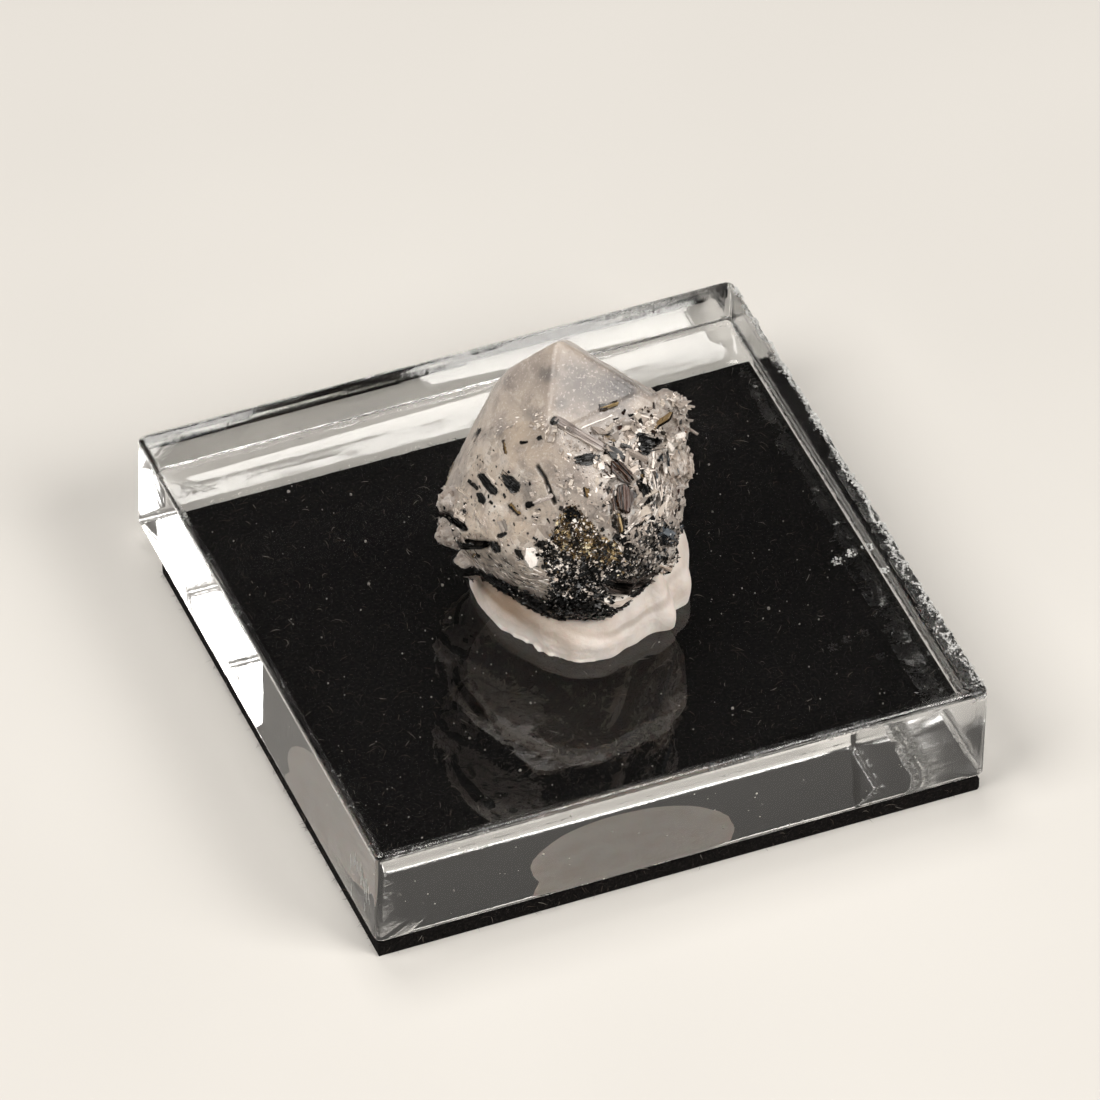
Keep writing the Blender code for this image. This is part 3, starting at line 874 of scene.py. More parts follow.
@dataclass
class CrystalForm:
    """The crystal's shape as a distance from its centre in every direction."""

    camera: PhotoCamera
    edge_softness: float = 0.15
    chunk_size: float = 0.8
    chip_size: float = 0.34
    ripple: float = 0.03
    seam_depth: float = 0.22
    step_depth: float = 0.04
    normals: Array = field(init=False)
    distances: Array = field(init=False)
    roof: Array = field(init=False)
    cap_way: Array = field(init=False)

    def __post_init__(self) -> None:
        """Work out the facets' directions once."""
        facets = list(FACETS.values())
        self.normals = facing([f.azimuth for f in facets], [f.elevation for f in facets])
        self.distances = np.array([f.distance for f in facets])
        self.roof = np.array([float(name in ROOF_FACETS) for name in FACETS])
        self.cap_way = facing(*CAP_WAY)

    def angles(self, directions: Array) -> tuple[Array, Array]:
        """Azimuth and elevation in degrees of directions out of the crystal."""
        heading = np.degrees(np.arctan2(directions[..., 0], -directions[..., 1])) - CRYSTAL_TURN
        elevation = np.degrees(np.arcsin(np.clip(directions[..., 2], -1.0, 1.0)))
        return (heading + 180.0) % 360.0 - 180.0, elevation

    def core(self, directions: Array) -> tuple[Array, Array]:
        """Distance to the nearest facet in each direction, with slightly softened edges.

        The soft least of the distances is -s log(sum(exp(-distance / s))).

        Args:
            directions: unit directions, (N, 3).

        Returns:
            Distances in mm, and the number of the facet that each direction meets.
        """
        slopes = directions @ self.normals.T
        reach = np.where(slopes > 1e-3, self.distances / np.maximum(slopes, 1e-3), 99.0)
        height = -reach.min(axis=1) * (directions @ self.cap_way)
        step = CAP_PROUD * smoothstep(-0.04, 0.04, height - CAP_LEVEL)
        raised = np.where(slopes > 1e-3, step[:, None] * self.roof / np.maximum(slopes, 1e-3), 0.0)
        reach = reach + raised
        least = reach.min(axis=1, keepdims=True)
        spread = np.exp(-(reach - least) / self.edge_softness).sum(axis=1)
        return least[:, 0] - self.edge_softness * np.log(spread), reach.argmin(axis=1)

    def with_lobes(self, directions: Array, distance: Array) -> Array:
        """Distances raised to the far side of any lobe that a direction meets.

        A ray meets a ball of radius R round c at t = d.c + sqrt(R^2 - |c|^2 + (d.c)^2).
        """
        right, forward = facing(90, 0), facing(0, 0)
        for across, ahead, rise, radius in LOBES:
            centre = across * right + ahead * forward + np.array([0.0, 0.0, rise])
            along = directions @ centre
            inside = radius**2 - centre @ centre + along**2
            ball = along + np.sqrt(np.maximum(inside, 0.0))
            distance = np.where(inside > 0.0, np.maximum(distance, ball), distance)
        return distance

    def relief(self, directions: Array, distance: Array, lobed: Array) -> dict[str, Array]:
        """Everything finer than the facets: how far it stands out, what it is made of, and where painted
        shade lies.

        Args:
            directions: unit directions, (N, 3).
            distance: distance of the facets and lobes in those directions, mm.
            lobed: how far each direction is on a lobe, 0 to 1.

        Returns:
            The final distance and the painted numbers, by name.
        """
        azimuth, elevation = self.angles(directions)
        points = directions * distance[:, None]
        pixels = self.camera.pixels(CRYSTAL_CENTRE + points)
        toward = directions @ self.camera.axes()[2]
        seen = smoothstep(0.0, 0.25, toward)
        wander = 3.0 * np.stack([fractal_noise(points, 0.5, 61), fractal_noise(points, 0.5, 71)], axis=1)
        ragged = pixels + wander

        roof = np.maximum(self.within(ragged, ROOF_AREA) * seen, smoothstep(38.0, 50.0, elevation))
        high = smoothstep(-38.0, -28.0, elevation)
        patch = fractal_noise(points, 2.2, 5)
        hidden = 1.0 - smoothstep(-0.35, -0.15, toward)
        gold = self.within(ragged, GOLD_AREA) * seen
        lower = 1.0 - smoothstep(5.0, 25.0, elevation)
        gold = np.maximum(gold, hidden * smoothstep(0.12, 0.3, patch) * lower)
        dark = self.within(ragged, DARK_AREA) * seen
        blotch = smoothstep(0.05, 0.25, fractal_noise(points, 1.8, 9))
        dark = np.maximum(dark, hidden * blotch * (elevation < 0.0))
        rubble = self.within(ragged, RUBBLE_AREA) * seen
        white = np.zeros(len(points))
        for outline in WHITE_AREAS:
            white = np.maximum(white, self.within(pixels + 0.4 * wander, outline) * seen)
        broken = np.maximum(1.0 - roof, lobed)
        right_side = smoothstep(30.0, 55.0, azimuth) * (1.0 - smoothstep(120.0, 150.0, azimuth)) * broken
        rough_side = np.maximum(right_side, lobed)
        rubbly = self.within(ragged, RIGHT_AREA) * seen
        mixed = smoothstep(-0.25, 0.25, fractal_noise(points, 0.9, 19))
        rubbly = np.maximum(rubbly * (0.25 + 0.5 * mixed), 0.7 * rough_side * mixed) * broken

        black = self.flakes(pixels + 0.3 * wander, (MicaKind.BLACK, MicaKind.SCHORL)) * seen
        brown = self.flakes(pixels + 0.3 * wander, (MicaKind.RED_BROWN, MicaKind.BRONZE)) * seen
        pale_rods = self.flakes(pixels, (MicaKind.LILAC, MicaKind.GREY)) * seen
        under = np.maximum(np.maximum(black, brown), pale_rods)

        grainy = np.maximum(np.maximum(gold, dark), rubble)
        seam = np.zeros(len(points))
        for line, width in SEAMS:
            seam = np.maximum(seam, self.near_line(pixels + 0.5 * wander, np.array(line), width) * seen)
        layer = self.layers(ragged) * seen
        steps = self.growth_steps(pixels) * seen
        rough = self.broken_ground(points, rough_side, broken, grainy) * (1.0 - 0.85 * under)
        total = distance + rough - self.seam_depth * seam - self.step_depth * layer - self.step_depth * steps
        inner = smoothstep(0.2, 0.4, fractal_noise(points, 1.5, 15))
        # Inner clouds and painted shade on the roof, and clouds on the hidden side.
        cloud_and_shade = self.clouds_and_shade(pixels) * seen + 0.5 * hidden * inner
        cream = self.within(ragged, CREAM_AREA) * (0.5 + 0.5 * patch) * seen
        return {
            "reach": total,
            "gold": gold * high,
            "dark": np.maximum(dark, 0.75 * rubble) * high,
            "white": white,
            "seam": np.maximum(seam, black),
            "brown": brown,
            "layer": layer,
            "broken": broken,
            "rubbly": rubbly,
            "cloud_and_shade": np.clip(cloud_and_shade, 0.0, 1.0),
            "cream": np.clip(cream, 0.0, 1.0),
        }

    def broken_ground(self, points: Array, rough_side: Array, broken: Array, grainy: Array) -> Array:
        """Height of chunks and chips, which lean and lie at different levels, and of ripples.

        Args:
            points: places on the facets and lobes, from the crystal's centre, mm.
            rough_side: 1 on the jumbled right side and on the lobes, else 0.
            broken: 1 off the smooth roof, else 0.
            grainy: 1 on the grounds of small mica grains, else 0.

        Returns:
            Heights in mm.
        """
        chunks = cell_noise(points, self.chunk_size, 21)
        chips = cell_noise(points, self.chip_size, 31)
        shelf = smoothstep(0.05, 0.3, chunks.second - chunks.near)
        coarse = 0.24 * chunks.slope + 0.12 * (chunks.tone - 0.5) * shelf
        coarse = coarse * (0.1 + 0.9 * rough_side) * broken
        chipped = np.maximum(grainy, (0.12 + 0.88 * rough_side) * broken)
        fine = (0.12 * chips.slope + 0.05 * (chips.tone - 0.5)) * chipped
        return coarse + fine + self.ripple * fractal_noise(points, 0.9, 3) * (0.3 + 0.7 * broken)

    def flakes(self, pixels: Array, kinds: tuple[MicaKind, ...]) -> Array:
        """1 where pixels lie on a named flake of one of some kinds, else 0."""
        total = np.zeros(len(pixels))
        for kind in kinds:
            for member in INCLUSIONS[kind]:
                total = np.maximum(total, self.within(pixels, member.corners()))
        return total

    def layers(self, pixels: Array) -> Array:
        """Thin dark sheets low on the left, which run parallel to the foot's edge.

        Across the sheets u is in pixels, and each stroke is the crest of sin(2 pi u / pitch).
        """
        start, end, pitch = np.array(LAYER_LINE[0]), np.array(LAYER_LINE[1]), 5.2
        along = unit(end - start)
        across = (pixels - start) @ np.array([-along[1], along[0]])
        run = (pixels - start) @ along
        band = smoothstep(-19.0, -13.0, across) * (1.0 - smoothstep(-1.0, 3.0, across))
        ends = smoothstep(-12.0, 4.0, run) * (1.0 - smoothstep(72.0, 90.0, run))
        crest = smoothstep(0.35, 0.9, np.sin(2.0 * math.pi * across / pitch + 0.04 * run))
        strokes = np.column_stack([run / 9.0, across, run * 0])
        broken_up = smoothstep(-0.1, 0.25, fractal_noise(strokes, 1.0, 77))
        return crest * band * ends * broken_up

    def growth_steps(self, pixels: Array) -> Array:
        """Growth lines of the roof, parallel to its right edge and dying out away from it."""
        start, end = np.array(ROOF_EDGE[0]), np.array(ROOF_EDGE[1])
        along = unit(end - start)
        across = (pixels - start) @ np.array([-along[1], along[0]])
        fade = smoothstep(-3.0, 2.0, across) * (1.0 - smoothstep(10.0, 26.0, across))
        saw = (across / 4.6) % 1.0
        return saw * fade

    def within(self, pixels: Array, outline: tuple) -> Array:
        """1 where pixels of the photograph lie inside an outline, else 0."""
        return inside_outline(pixels, np.array(outline, float)).astype(float)

    def near_line(self, pixels: Array, line: Array, width: float) -> Array:
        """A soft stroke along a line: exp(-(distance / half width)^4)."""
        distance = np.full(len(pixels), 1e9)
        for start, end in zip(line[:-1], line[1:]):
            along = end - start
            share = np.clip((pixels - start) @ along / (along @ along), 0.0, 1.0)
            distance = np.minimum(distance, np.linalg.norm(pixels - start - share[:, None] * along, axis=1))
        return np.exp(-((distance / (0.5 * width)) ** 4))

    def clouds_and_shade(self, pixels: Array) -> Array:
        """Inner clouds of the roof and painted shade on its middle and right: a sum of soft round patches.
        """
        total = np.zeros(len(pixels))
        for x, y, radius, depth in CLOUDS_AND_SHADE:
            gap = np.hypot(pixels[:, 0] - x, pixels[:, 1] - y) / radius
            total += depth * np.exp(-(gap**2))
        return total

    def surface(self, directions: Array) -> dict[str, Array]:
        """The finished distance and painted numbers in each direction."""
        distance, _ = self.core(directions)
        swollen = self.with_lobes(directions, distance)
        return self.relief(directions, swollen, smoothstep(0.0, 0.12, swollen - distance))

    def meet(self, pixels: Array) -> tuple[Array, Array]:
        """Where sight lines through pixels of the photograph first meet the crystal's facets.

        A line enters a convex solid at the last of the planes that it crosses inwards.

        Args:
            pixels: (N, 2).

        Returns:
            Directions from the crystal's centre to the meeting places, and the facets' normals.
        """
        rays = self.camera.rays(np.asarray(pixels, float))
        start = self.camera.place() - CRYSTAL_CENTRE
        closing = rays @ self.normals.T
        travel = (self.distances - start @ self.normals.T) / np.where(np.abs(closing) < 1e-9, 1e-9, closing)
        entering = np.where(closing < 0.0, travel, -1e9)
        facet = entering.argmax(axis=1)
        points = start + rays * entering.max(axis=1)[:, None]
        return unit(points), self.normals[facet]


# Outlines on the crystal, in pixels of the photograph
ROOF_AREA = (
    (558, 330), (590, 336), (648, 380), (640, 396), (618, 404), (600, 418), (580, 428), (556, 424),
    (530, 412), (512, 410), (490, 428), (470, 452), (455, 470), (440, 470), (450, 440), (470, 400),
    (500, 360),
)
GOLD_AREA = (
    (563, 509), (574, 507), (584, 519), (600, 533), (606, 541), (616, 541), (627, 555), (628, 565),
    (618, 570), (600, 568), (583, 563), (571, 555), (555, 546), (553, 533), (560, 523),
)
DARK_AREA = (
    (537, 544), (548, 541), (560, 550), (578, 561), (600, 566), (628, 561), (660, 570), (655, 586),
    (634, 597), (604, 607), (606, 617), (593, 624), (558, 619), (548, 607), (552, 590), (550, 572),
    (543, 560),
)
RUBBLE_AREA = (
    (614, 523), (628, 533), (644, 523), (660, 517), (678, 528), (684, 545), (660, 575), (628, 568),
    (623, 549),
)
WHITE_AREAS = (
    ((526, 548), (536, 547), (539, 556), (537, 567), (530, 571), (524, 560)),
    ((658, 561), (676, 554), (671, 562), (659, 575)),
    ((665, 440), (672, 436), (678, 444), (672, 453), (664, 450)),
    ((623, 536), (632, 524), (644, 519), (640, 530), (628, 541)),
    ((596, 464), (603, 462), (604, 470), (598, 470)),
    ((607, 540), (617, 541), (628, 556), (626, 563), (616, 552)),
)
RIGHT_AREA = (
    (592, 432), (618, 418), (640, 404), (664, 404), (684, 416), (690, 440), (690, 470), (684, 500),
    (680, 522), (660, 517), (644, 523), (628, 535), (612, 520), (603, 500), (600, 480), (590, 462),
)
LUMPS_AREA = ((650, 402), (672, 400), (688, 412), (690, 434), (678, 446), (664, 448), (656, 430))
MIDDLE_AREA = (
    (552, 424), (594, 440), (600, 470), (603, 500), (612, 520), (600, 533), (584, 519), (563, 505),
    (553, 480), (560, 450),
)
LEFT_AREA = (
    (462, 470), (500, 455), (530, 468), (552, 500), (560, 523), (548, 545), (525, 572), (490, 566),
    (462, 545), (452, 510),
)
FOOT_AREA = (
    (469, 545), (500, 557), (540, 568), (556, 580), (558, 597), (523, 586), (490, 576), (472, 572),
)
CORNER_AREA = (
    (436, 494), (450, 486), (464, 498), (464, 540), (470, 556), (452, 556), (440, 545), (437, 515),
)
ROOF_LIP_AREA = ((484, 428), (512, 408), (545, 414), (560, 424), (548, 434), (520, 422), (495, 440))
STREAK_AREA = ((650, 456), (672, 452), (673, 470), (668, 504), (654, 514), (650, 480))
STEEL_AREA = ((656, 524), (684, 522), (688, 548), (662, 556))
BAND_AREA = (
    (472, 575), (492, 577), (507, 580), (523, 587), (537, 594), (558, 600), (578, 600), (600, 606),
    (634, 600), (632, 614), (600, 622), (578, 622), (548, 617), (523, 605), (495, 591), (476, 584),
)
# Dark seams between grown-together crystals: their lines and widths in pixels
SEAMS = (
    (((438, 507), (450, 514), (458, 521), (464, 529)), 6.0),
    (((441, 541), (452, 545), (468, 543), (486, 545)), 6.5),
    (((537, 466), (545, 479), (554, 503)), 4.5),
    (((553, 424), (572, 432), (594, 443)), 2.0),
    (((662, 467), (659, 490), (655, 514)), 3.0),
    (((604, 463), (612, 470), (618, 477)), 2.0),
    (((607, 488), (611, 500), (613, 519)), 3.0),
    (((600, 440), (606, 450), (604, 462)), 3.0),
    (((640, 456), (644, 470), (641, 484)), 3.5),
)
CREAM_AREA = (
    (470, 455), (520, 420), (552, 424), (553, 500), (560, 540), (552, 560), (556, 592), (520, 584),
    (478, 570), (462, 556), (455, 500),
)
LAYER_LINE = ((478, 571), (556, 606))
ROOF_EDGE = ((577, 343), (658, 395))
# Inner clouds of the roof, and wide soft patches of painted shade on its middle and right: place in pixels,
# radius in pixels, depth of tone
CLOUDS_AND_SHADE = (
    (545, 374, 9, 0.5), (623, 387, 14, 0.6), (561, 405, 8, 0.5), (632, 392, 9, 0.45), (500, 438, 10, 0.4),
    (529, 412, 7, 0.5), (524, 475, 9, 0.5), (528, 487, 8, 0.6), (527, 497, 9, 0.45), (537, 441, 10, 0.45),
    # The wide soft patches below are painted shade that dims the lit middle and right of the roof.
    (560, 382, 26, 0.16), (605, 395, 22, 0.25), (620, 425, 16, 0.35), (588, 366, 24, 0.3),
    (618, 380, 22, 0.3), (572, 380, 24, 0.34), (596, 400, 22, 0.26),
)


@dataclass
class PhenakiteCrystal:
    """The crystal's skin: one closed surface round its centre, finer towards the camera."""

    form: CrystalForm
    columns: int = 460
    rows: int = 208
    front_gain: float = 0.45
    row_shares: tuple[float, ...] = (0.0, 0.1, 0.9, 1.0)
    row_elevations: tuple[float, ...] = (-90.0, -50.0, 72.0, 90.0)

    def directions(self) -> Array:
        """A grid of directions, (rows, columns, 3).

        Azimuth is turn - gain sin(turn), so that columns crowd at the front, and elevation
        spends most rows between the roof and the foot.
        """
        turn = 2.0 * math.pi * np.arange(self.columns) / self.columns
        azimuth = np.degrees(turn - self.front_gain * np.sin(turn))
        share = (np.arange(self.rows) + 1.0) / (self.rows + 1.0)
        elevation = np.interp(share, self.row_shares, self.row_elevations)
        return facing(*np.meshgrid(azimuth, elevation))

    def build(self) -> Piece:
        """Make the skin and paint what each place is made of, and its painted shade."""
        grid = self.directions()
        ends = np.array([[0.0, 0.0, -1.0], [0.0, 0.0, 1.0]])
        flat = closed_points(ends[0], grid, ends[1])
        found = self.form.surface(flat)
        points = CRYSTAL_CENTRE + flat * found["reach"][:, None]
        faces = closed_faces(self.rows, self.columns)
        piece = place_mesh("crystal_skin", points, faces, MilkyPhenakite().make())
        for name, values in found.items():
            if name != "reach":
                paint(piece, name, values)
        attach(piece, BODY)
        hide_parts("phenakite_crystal")
        return piece


# Acrylic square


@dataclass
class AcrylicSquare:
    """The clear square: flat faces, soft rims and a chipped, sawn right side."""

    camera: PhotoCamera
    side: float = BLOCK_SIDE
    floor: float = BLOCK_FLOOR
    top: float = BLOCK_TOP
    corner: float = 0.35
    rim: float = 0.3
    plain_steps: int = 90
    right_steps: int = 460
    corner_steps: int = 10
    chip_count: int = 74
    scoop_length: tuple[float, float] = (0.2, 0.9)
    scoop_depth: tuple[float, float] = (0.1, 0.3)
    haze_start: float = 2.6
    haze_full: float = 1.4
    haze: float = 0.85
    crumb_count: int = 4200
    crumb_size: tuple[float, float] = (0.012, 0.06)
    sliver_count: int = 17
    dent_size: int = 26
    dents: Points = ((868.0, 547.0), (851.0, 553.0), (838.0, 561.0), (884.0, 571.0))
    seed: int = 12

    def perimeter(self) -> Array:
        """The square's outline with round corners, anticlockwise from above, (N, 2)."""
        half, radius = 0.5 * self.side, self.corner
        straight = half - radius
        points = []
        for index, heading in enumerate((-90.0, 0.0, 90.0, 180.0)):
            way = np.array([math.cos(math.radians(heading)), math.sin(math.radians(heading))])
            along = np.array([-way[1], way[0]])
            steps = self.right_steps if index == 1 else self.plain_steps
            run = np.linspace(-straight, straight, steps, endpoint=False)
            points.append(way * half + run[:, None] * along)
            arc = np.radians(heading + 90.0 * np.arange(self.corner_steps) / self.corner_steps)
            ring = np.stack([np.cos(arc), np.sin(arc)], axis=1)
            centre = (way + along) * straight
            points.append(centre + radius * ring)
        return np.vstack(points)

    def profile(self) -> Array:
        """Inset and height of each row, from the underside round the wall to the top, (R, 2)."""
        arc = np.radians(np.linspace(0.0, 90.0, 7))
        low = np.stack([self.rim * (1 - np.sin(arc)), self.rim * (1 - np.cos(arc))], axis=1)
        wall = np.linspace(self.rim, self.top - self.floor - self.rim, 34)[1:-1]
        rise = self.top - self.floor - self.rim * (1 - np.sin(arc))
        high = np.stack([self.rim * (1 - np.cos(arc)), rise], axis=1)
        band = np.linspace(self.rim, 2.4, 24)[1:]
        level = np.full_like(band, self.top - self.floor)
        rows = [[[2.4, 0.0]], low, np.stack([0 * wall, wall], axis=1), high, np.stack([band, level], axis=1)]
        return np.vstack(rows)

    def build(self) -> list[Piece]:
        """Make the square and the crumbs on its sawn edge."""
        made = [self.build_square(), self.build_crumbs()]
        for piece in made:
            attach(piece, BODY)
        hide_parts("acrylic_block")
        return made

    def build_square(self) -> Piece:
        """Make the square, chip it, and paint where it is frosted."""
        ring = self.perimeter()
        profile = self.profile()
        inset, height = profile[:, 0, None, None], profile[:, 1, None]
        flat = ring[None] * (1.0 - inset / (0.5 * self.side))
        deep = np.broadcast_to(self.floor + height, flat.shape[:2])
        grid = np.concatenate([flat, deep[..., None]], axis=2)
        points = closed_points(np.array([0.0, 0.0, self.floor]), grid, np.array([0.0, 0.0, self.top]))
        chipped, frost = self.chip(points)
        frost = np.maximum(frost, np.maximum(self.rubbed_rims(points), self.hazy_back(points)))
        faces = closed_faces(len(profile), len(ring))
        piece = place_mesh("acrylic_square", chipped, faces, CastAcrylic().make())
        piece.data.set_sharp_from_angle(angle=math.radians(50.0))
        paint(piece, "frost", frost)
        return piece

    def rubbed_rims(self, points: Array) -> Array:
        """How frosted the square's upper and lower rims are: rubbed pale in uneven lengths."""
        inset = 0.5 * self.side - np.abs(points[:, :2]).max(axis=1)
        drop = np.minimum(self.top - points[:, 2], points[:, 2] - self.floor)
        on_rim = (inset < self.rim) & (drop < self.rim)
        return on_rim * np.clip(0.5 + 0.6 * fractal_noise(points, 0.9, 47), 0.15, 0.9)

    def hazy_back(self, points: Array) -> Array:
        """How frosted the upper part of the back wall is: a haze in long uneven zones."""
        behind = points[:, 1] > 0.5 * self.side - 0.05
        zones = smoothstep(-0.35, 0.15, fractal_noise(points * [0.2, 1.0, 0.6], 1.2, 49, 3))
        height = smoothstep(self.top - self.haze_start, self.top - self.haze_full, points[:, 2])
        return self.haze * behind * zones * height

    def build_crumbs(self) -> Piece:
        """Pale crumbs left by the saw: thick on the right edge, in a few dents, and as nicks."""
        source = np.random.default_rng(self.seed + 1)
        places = np.vstack([self.edge_crumbs(source), self.dent_crumbs(source)])
        number = len(places)
        normals = unit(np.array([0.4, 0.0, 1.0]) + source.normal(0.0, 0.5, (number, 3)))
        size = source.uniform(*self.crumb_size, number) * source.uniform(0.5, 1.0, number)
        axes = frames_on(normals, source.uniform(0.0, 6.28, number)) * size[:, None, None]
        shape, faces = uneven_cube(source, number)
        points, made = copies(shape * [1.3, 1.0, 0.5], faces, axes, places)
        extra, more = self.nicks(source)
        faces = np.vstack([made[0], more[0] + len(points)])
        palette = Palette("cast_acrylic_saw_crumbs")
        tone = palette.noise(0.2, detail=2.0)
        palette.feed("Base Color", palette.ramp(tone, [(0.35, "#b9b9b7"), (0.65, "#f0f0ee")]))
        palette.set(Roughness=0.4, Transmission_Weight=0.35, IOR=1.49)
        return place_mesh("saw_crumbs", np.vstack([points, extra]), [faces], palette.material, smooth=False)

    def edge_crumbs(self, source: Draws) -> Array:
        """Places of crumbs along the sawn top edge, in patches.

        Across the edge a crumb lies at |normal random| * w, where w grows with a power of the
        share of the way to the front.
        """
        half, count = 0.5 * self.side, self.crumb_count
        along = source.uniform(-0.5, 0.5, count) * (self.side - 0.9)
        front = 0.5 - along / self.side
        inward = np.minimum(np.abs(source.normal(0.0, 1.0, count)) * (0.1 + 0.6 * front**2.5), 2.2)
        level = np.where(source.uniform(size=count) < 0.25, source.uniform(0.0, 0.7, count), 0.0)
        places = np.column_stack([half - 0.03 - inward * (level == 0.0), along, self.top - 0.015 - level])
        patchy = fractal_noise(places, 0.7, 43) + 0.5 * front - 1.2 * inward
        return self.chip(places[patchy > -0.3])[0]

    def dent_crumbs(self, source: Draws) -> Array:
        """Places of crumbs in a few dents of the top face, seen at pixels of the photograph."""
        rays = self.camera.rays(np.array(self.dents))
        lens = self.camera.place()
        marks = lens + rays * ((self.top - lens[2]) / rays[:, 2])[:, None]
        places = np.repeat(marks, self.dent_size, axis=0)
        return places + (source.normal(0.0, 0.13, places.shape) * [1.0, 1.0, 0.0] - [0.0, 0.0, 0.01])

    def nicks(self, source: Draws) -> tuple[Array, list[Array]]:
        """Upright slivers on the left wall's front end, as points and faces."""
        half, count = 0.5 * self.side, self.sliver_count
        ahead = source.uniform(0.6, 3.4, count) - half
        height = source.uniform(self.floor + 0.7, self.floor + 3.6, count)
        places = np.column_stack([np.full(count, 0.004 - half), ahead, height])
        spins = math.radians(90.0) + source.normal(0.0, 0.12, count)
        upright = frames_on(np.tile([-1.0, 0.0, 0.0], (count, 1)), spins, np.array([0.0, 0.0, 1.0]))
        length, width = source.uniform(0.12, 0.5, count), source.uniform(0.015, 0.035, count)
        stretch = np.column_stack([length, width, np.full(count, 0.02)])
        shape, faces = uneven_cube(source, count)
        return copies(shape, faces, upright * stretch[:, :, None], places)

    def chip(self, points: Array) -> tuple[Array, Array]:
        """Break scoops out of the right side's top edge and roughen the sawn wall.

        A point inside a scoop's ellipsoid moves out from its centre onto its surface. The
        centres lie just outside the corner, so the scoops open to the air.

        Args:
            points: the block's points, mm.

        Returns:
            The moved points and how frosted each is, 0 to 1.
        """
        source = np.random.default_rng(self.seed)
        moved = points.copy()
        half = 0.5 * self.side
        wall = (points[:, 0] > half - 0.02).astype(float)
        frost = 0.3 * wall
        frontness = 0.5 - points[:, 1] / self.side
        edge = (points[:, 0] > half - 0.45 - 0.5 * frontness) & (points[:, 2] > self.top - 0.6)
        cloudy = smoothstep(-0.5, 0.25, fractal_noise(points, 0.8, 45) + 0.7 * frontness - 0.3)
        frost = np.maximum(frost, 0.8 * edge * cloudy)
        for _ in range(self.chip_count):
            place = source.uniform(-0.5, 0.5) * (self.side - 2.5)
            front = 0.5 - place / self.side
            if source.uniform() > 0.35 + 0.65 * front:
                continue
            across = source.uniform(0.15, 0.4) + 0.8 * front**2 * source.uniform(0.2, 1.0)
            size = np.array([across, source.uniform(*self.scoop_length), source.uniform(*self.scoop_depth)])
            centre = np.array([half + 0.05, place, self.top + 0.06])
            offset = (moved - centre) / size
            gap = np.linalg.norm(offset, axis=1)
            inside = gap < 1.0
            out = unit(np.where(gap[:, None] > 1e-6, offset, [-1.0, 0.0, -1.0]))
            target = centre + out * size
            target[:, 0] = np.minimum(target[:, 0], points[:, 0])
            target[:, 2] = np.minimum(target[:, 2], points[:, 2])
            moved = np.where(inside[:, None], target, moved)
            frost = np.where(inside, 1.0, frost)
        crumble = fractal_noise(points, 0.35, 41)
        depth = 0.07 * smoothstep(0.5, 0.9, frost) * (0.6 + crumble)
        moved[:, 0] -= depth
        moved[:, 2] -= depth * (points[:, 2] > self.top - 1.0)
        return moved, frost


# Felt


